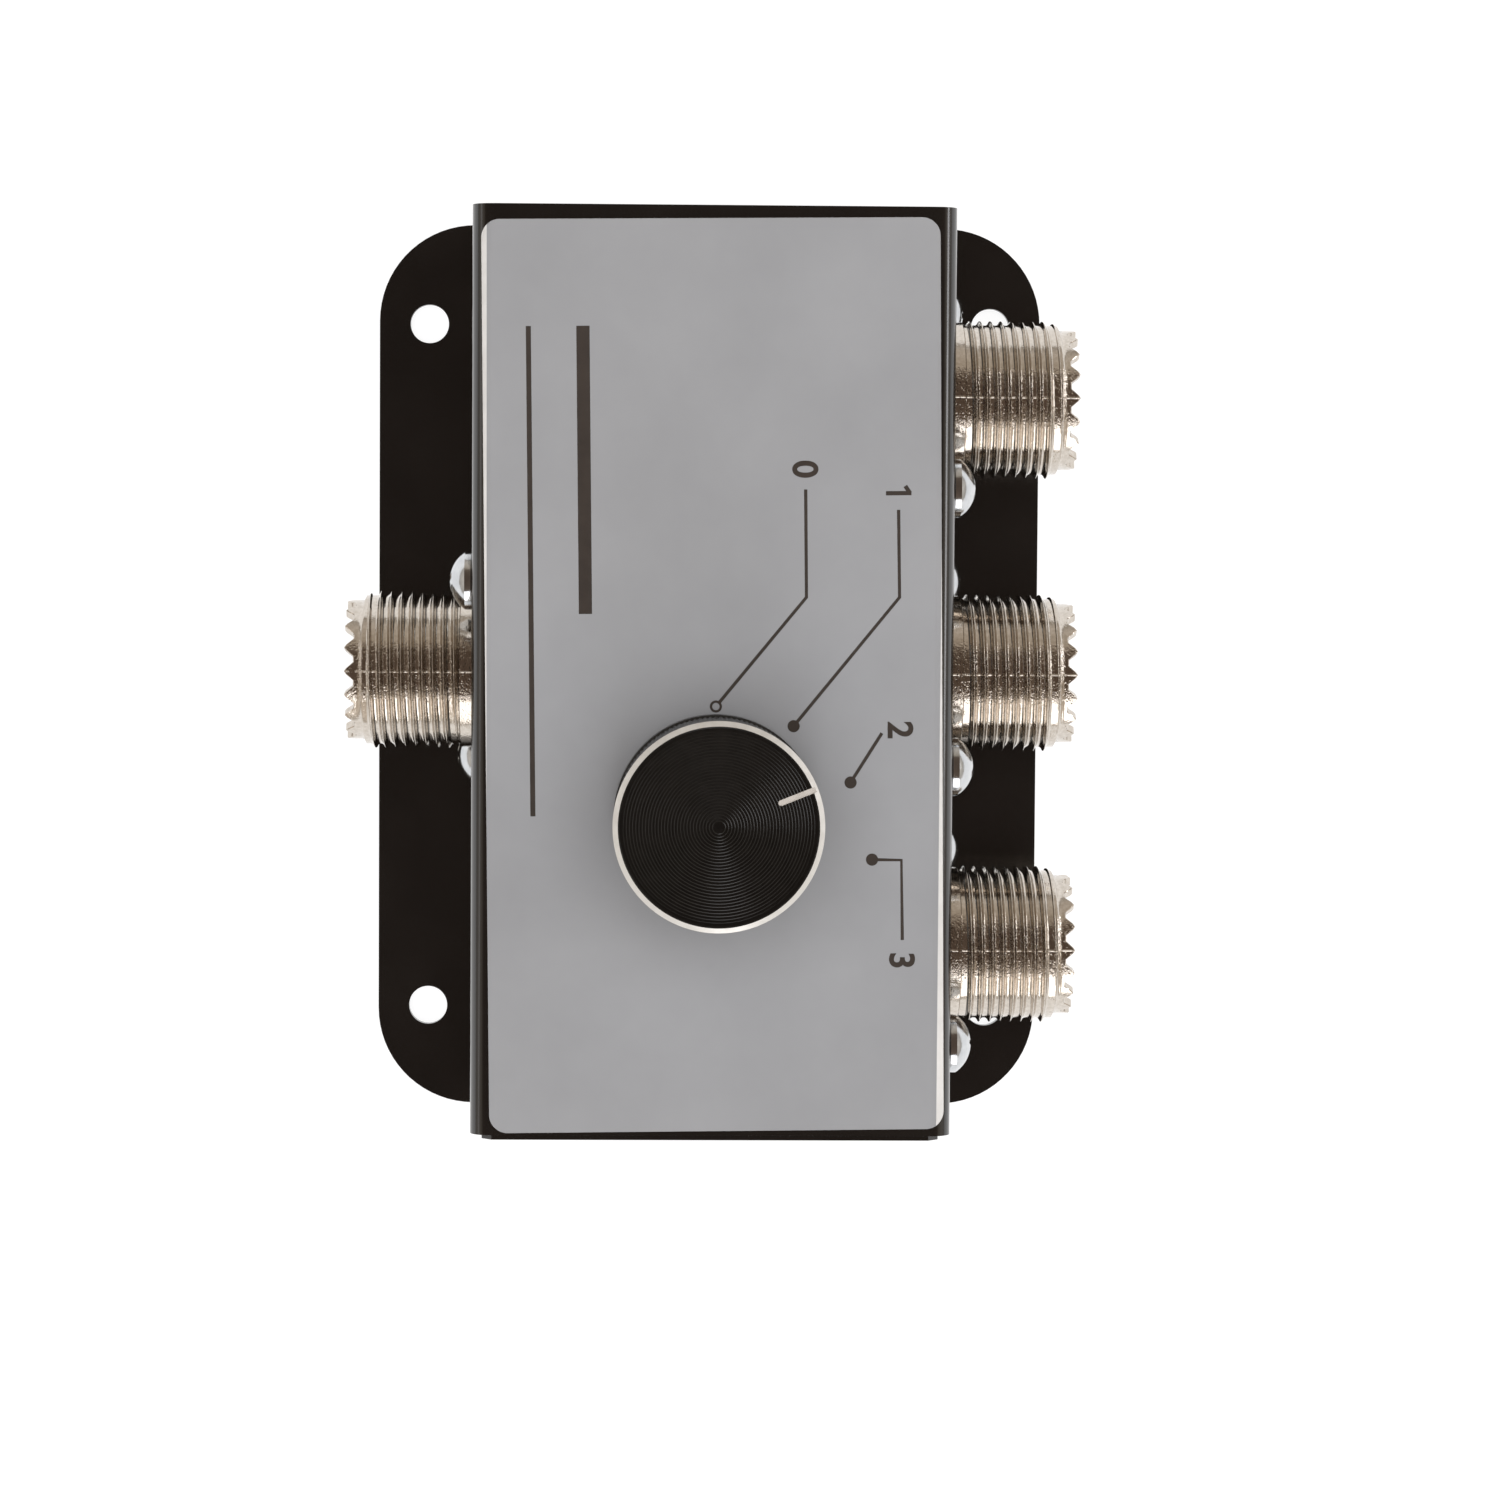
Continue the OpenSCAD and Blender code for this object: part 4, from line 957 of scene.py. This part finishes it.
# Knob
def knob_section():
    """Half section of the knob: its recess, shaft hole, foot, grip, ring and grooved face."""
    foot, top = knob_low.z, knob_high.z
    face = top - KNOB_FACE_SINK
    face_r = knob_r - KNOB_RING_W - KNOB_FACE_SINK
    grip_r = knob_r - GRIP_SINK
    outside = [
        (0, foot + KNOB_HOLE_H), (KNOB_HOLE_R, foot + KNOB_HOLE_H),
        (KNOB_HOLE_R, foot + KNOB_RECESS_H), (KNOB_RECESS_R, foot + KNOB_RECESS_H),
        (KNOB_RECESS_R, foot), (knob_r - KNOB_FOOT_CHAMFER, foot),
        (knob_r, foot + KNOB_FOOT_CHAMFER), (knob_r, foot + FOOT_BAND_H),
        (grip_r, foot + FOOT_BAND_H + GRIP_SINK), (grip_r, top - HEAD_BAND_H - GRIP_SINK),
        (knob_r, top - HEAD_BAND_H), (knob_r, top - KNOB_RING_W),
        (knob_r - KNOB_RING_W, top), (face_r, face)]
    grooves = []
    for k in range(int(face_r / GROOVE_PITCH) - 1):
        high_r = face_r - (k + GROOVE_STEEP_SHARE) * GROOVE_PITCH
        low_r = high_r - (1 - GROOVE_STEEP_SHARE) * GROOVE_PITCH
        grooves += [(high_r, face), (low_r, face - GROOVE_DEPTH)]
    return outside + grooves + [(0, face)]


def make_pointer_cutter():
    """A slot with a round inner end, to be cut in through the rim."""
    end_x = knob_r - POINTER_L + POINTER_W / 2
    bpy.ops.object.select_all(action="DESELECT")
    bpy.ops.mesh.primitive_cylinder_add(vertices=POINTER_SIDES, radius=POINTER_W / 2 * MM,
        depth=POINTER_CUTTER_H * MM, location=(end_x * MM, 0, 0))
    cutter = bpy.context.object
    apply_place(cutter)
    edit(cutter)
    pick(cutter, "verts", lambda v: v.co.x > (end_x + NEAR) * MM)
    bpy.ops.transform.translate(value=(POINTER_L * MM, 0, 0))
    done()
    floor_z = knob_high.z - KNOB_FACE_SINK - POINTER_DEPTH
    cutter.location.z = (floor_z + POINTER_CUTTER_H / 2) * MM
    apply_place(cutter)
    paint(cutter, POINTER_LACQUER)
    return cutter


def make_set_screw_cutter():
    """A hole opposite the pointer, from the shaft's bore out through the grip."""
    bpy.ops.object.select_all(action="DESELECT")
    bpy.ops.mesh.primitive_cylinder_add(vertices=SET_SCREW_SIDES, radius=SET_SCREW_HOLE_R * MM,
        depth=knob_r * MM, rotation=(0, math.pi / 2, 0),
        location=(-knob_r / 2 * MM - KNOB_HOLE_R / 2 * MM, 0, SET_SCREW_Z * MM))
    cutter = bpy.context.object
    apply_place(cutter)
    paint(cutter, SLOT_MATERIALS["black_anodised"])
    return cutter


def make_knob():
    """The turned knob, with its knurled grip, bright ring, pointer slot and set screw's hole."""
    knob = turned("knob_finished", knob_section(), KNOB_SIDES)
    paint(knob, SLOT_MATERIALS["black_anodised"])
    knob.data.materials.append(CUT_ALUMINIUM)
    grip_r = knob_r - GRIP_SINK

    def on_grip(v):
        """In every other column of the grip."""
        return (column_of(v.co, KNOB_SIDES) % 2 and abs(radius_of(v.co) - grip_r) < 2 * NEAR
            and v.co.z / MM < knob_high.z - HEAD_BAND_H)

    def on_ring(f):
        """On the chamfer between the head band and the face."""
        middle = f.calc_center_median()
        return (f.normal.z > 0.5 and middle.z / MM > knob_high.z - KNOB_RING_W
            and radius_of(middle) > knob_r - KNOB_RING_W)

    edit(knob)
    pick(knob, "verts", on_grip)
    deep = 1 - KNURL_DEPTH / grip_r
    bpy.ops.transform.resize(value=(deep, deep, 1), center_override=(0, 0, 0))
    bpy.ops.mesh.select_mode(type="FACE")
    pick(knob, "faces", on_ring)
    knob.active_material_index = 1
    bpy.ops.object.material_slot_assign()
    done()
    cut_away(knob, make_set_screw_cutter())
    cut_away(knob, make_pointer_cutter(), material_mode="TRANSFER")
    knob.rotation_euler.z = math.radians(90 + POINTER_ANGLE)
    knob.location = (knob_middle.x * MM, knob_middle.y * MM, 0)
    apply_place(knob)
    smooth(knob, angle=28)
    finish_piece(knob, "selector", "black_anodised", "knob")


make_knob()


# Print on the label
def ink_line(points, width):
    """A printed line with its own width, lying flat and half sunk at height 0."""
    draw_line("ink_line", [(x, y, 0) for x, y in points])
    done()
    bpy.ops.object.convert(target="CURVE")
    line = bpy.context.object
    line.data.bevel_depth = width / 2 * MM
    line.data.bevel_resolution = 2
    line.data.use_fill_caps = True
    bpy.ops.object.convert(target="MESH")
    line = bpy.context.object
    line.scale.z = 2 * INK_T / width
    apply_place(line)
    return line


def ink_dot(place, hollow):
    """A printed dot, or a ring where the middle has worn off."""
    bpy.ops.object.select_all(action="DESELECT")
    bpy.ops.mesh.primitive_circle_add(vertices=DOT_SIDES, radius=DOT_R * MM, fill_type="NGON",
        location=(place[0] * MM, place[1] * MM, -INK_T * MM))
    dot = bpy.context.object
    apply_place(dot)
    edit(dot, "FACE")
    bpy.ops.mesh.select_all(action="SELECT")
    if hollow:
        bpy.ops.mesh.inset(thickness=DOT_R * DOT_RING_SHARE * MM)
        bpy.ops.mesh.delete(type="FACE")
        bpy.ops.mesh.select_all(action="SELECT")
    bpy.ops.mesh.extrude_region_move(TRANSFORM_OT_translate={"value": (0, 0, 2 * INK_T * MM)})
    done()
    merge_all(dot)
    return dot


def ink_number(figure, place):
    """A printed figure, set in the middle of its place."""
    bpy.ops.object.select_all(action="DESELECT")
    bpy.ops.object.text_add(location=(0, 0, 0))
    number = bpy.context.object
    number.data.body = figure
    number.data.size = NUMBER_H / FIGURE_HEIGHT_SHARE * MM
    number.data.offset = FIGURE_BOLDER * MM
    number.data.extrude = INK_T * MM
    bpy.ops.object.convert(target="MESH")
    number = bpy.context.object
    merge_all(number)
    corners = [Vector(corner) for corner in number.bound_box]
    middle = (corners[0] + corners[6]) / 2
    number.location = (place[0] * MM - middle.x, place[1] * MM - middle.y, 0)
    apply_place(number)
    return number


def ink_one(place):
    """The figure 1: a stem with a flag."""
    x, y = place
    top, bottom = y + NUMBER_H / 2, y - NUMBER_H / 2
    stem_x = x + ONE_STEM_X
    stem = ink_line(((stem_x, bottom), (stem_x, top)), FIGURE_STROKE)
    flag = ink_line(((stem_x, top - FIGURE_STROKE / 3), (x + ONE_FLAG_X, top - ONE_FLAG_DROP)),
        FIGURE_STROKE)
    return join([stem, flag], "one")


def make_print():
    """Leader lines, dots, numbers and two plain rules, as one piece on the label."""
    marks = [ink_line(leader, LEADER_W) for leader in LEADERS]
    marks += [ink_dot(place, hollow=place == DOTS[0]) for place in DOTS]
    for figure, place in NUMBERS:
        marks.append(ink_one(place) if figure == "1" else ink_number(figure, place))
    for near, far, across, width in RULES:
        marks.append(ink_line(((near, across), (far, across)), width))
    piece = join(marks, "label_print")
    piece.rotation_euler.z = math.radians(PRINT_TURN)
    piece.location = (PRINT_MIDDLE[0] * MM, PRINT_MIDDLE[1] * MM, label_top * MM)
    apply_place(piece)
    paint(piece, INK)
    smooth(piece)
    finish_piece(piece, "chassis", "label_film")


make_print()


# Nodes whose CAD shape is right
def finish_cad_nodes():
    """Gives each CAD node that still shows the finish of its slot."""
    for subpart in frame["record"]["subparts"]:
        node = frame["nodes"][subpart["node"]]
        if not node.hide_render:
            for place in node.material_slots:
                place.material = SLOT_MATERIALS[subpart["material_slot"]]


finish_cad_nodes()


# Floor, room and lights
def studio_floor():
    """Matt white paper: it stays white to the lens and in reflections, and takes a soft shadow.

    Its back is clear, so that the base plate's underside shows in a view from below.
    """
    made, tree = new_material("studio_floor")
    path = add_node(tree, "ShaderNodeLightPath")
    seen = add_node(tree, "ShaderNodeMath", {"operation": "ADD"},
        {0: path.outputs["Is Camera Ray"], 1: path.outputs["Is Glossy Ray"]})
    seen_all = add_node(tree, "ShaderNodeMath", {"operation": "ADD", "use_clamp": True},
        {0: seen.outputs["Value"], 1: path.outputs["Is Transmission Ray"]})
    paper = add_node(tree, "ShaderNodeBsdfDiffuse", {"Color": linear("#E6E4E0")})
    shade = add_node(tree, "ShaderNodeBsdfDiffuse", {"Color": [FLOOR_SHADE] * 3 + [1.0]})
    glow = add_node(tree, "ShaderNodeEmission",
        {"Color": [1.0, 1.0, 1.0, 1.0], "Strength": FLOOR_GLOW})
    white = add_node(tree, "ShaderNodeAddShader", {},
        {0: shade.outputs["BSDF"], 1: glow.outputs["Emission"]})
    face = add_node(tree, "ShaderNodeMixShader", {},
        {0: seen_all.outputs["Value"], 1: paper.outputs["BSDF"], 2: white.outputs["Shader"]})
    side = add_node(tree, "ShaderNodeNewGeometry").outputs["Backfacing"]
    clear = add_node(tree, "ShaderNodeBsdfTransparent")
    both = add_node(tree, "ShaderNodeMixShader", {},
        {0: side, 1: face.outputs["Shader"], 2: clear.outputs["BSDF"]})
    add_node(tree, "ShaderNodeOutputMaterial", links={"Surface": both.outputs["Shader"]})
    return made


def add_floor():
    """A plain sheet under the part."""
    bpy.ops.object.select_all(action="DESELECT")
    bpy.ops.mesh.primitive_plane_add(size=FLOOR_SIZE * MM, location=(0, 0, -FLOOR_DROP * MM))
    floor = bpy.context.object
    floor.name = "floor"
    paint(floor, studio_floor())


def add_world():
    """A room with pale warm walls, dark brown from about 45 degrees up, dimmer on the -X side."""
    world = bpy.data.worlds.new("studio")
    world.use_nodes = True
    tree = world.node_tree
    tree.nodes.clear()
    way = add_node(tree, "ShaderNodeTexCoord").outputs["Generated"]
    parts = add_node(tree, "ShaderNodeSeparateXYZ", links={"Vector": way})
    tone = add_node(tree, "ShaderNodeValToRGB", links={"Fac": parts.outputs["Z"]})
    set_stops(tone, ROOM_TONES)
    side = add_node(tree, "ShaderNodeMapRange",
        {"From Min": -1.0, "From Max": 1.0, "To Min": ROOM_STRENGTH[0], "To Max": ROOM_STRENGTH[1]},
        {"Value": parts.outputs["X"]})
    back = add_node(tree, "ShaderNodeBackground",
        links={"Color": tone.outputs["Color"], "Strength": side.outputs["Result"]})
    add_node(tree, "ShaderNodeOutputWorld", links={"Surface": back.outputs["Background"]})
    bpy.context.scene.world = world


def add_softbox(name, place, size, radiance, mirrored):
    """An area light that faces the part, its brightness given as the radiance of its face."""
    data = bpy.data.lights.new(name, "AREA")
    data.shape = "RECTANGLE"
    data.size, data.size_y = size[0] * MM, size[1] * MM
    data.energy = radiance * math.pi * data.size * data.size_y
    data.color = linear(SOFTBOX_COLOUR)[:3]
    light = bpy.data.objects.new(name, data)
    light.location = Vector(place) * MM
    light.rotation_euler = light.location.to_track_quat("Z", "Y").to_euler()
    light.visible_glossy = mirrored
    bpy.context.scene.collection.objects.link(light)


add_floor()
add_world()
for softbox, setting in SOFTBOXES.items():
    add_softbox(softbox, *setting)
bpy.context.scene.view_settings.view_transform = "Standard"
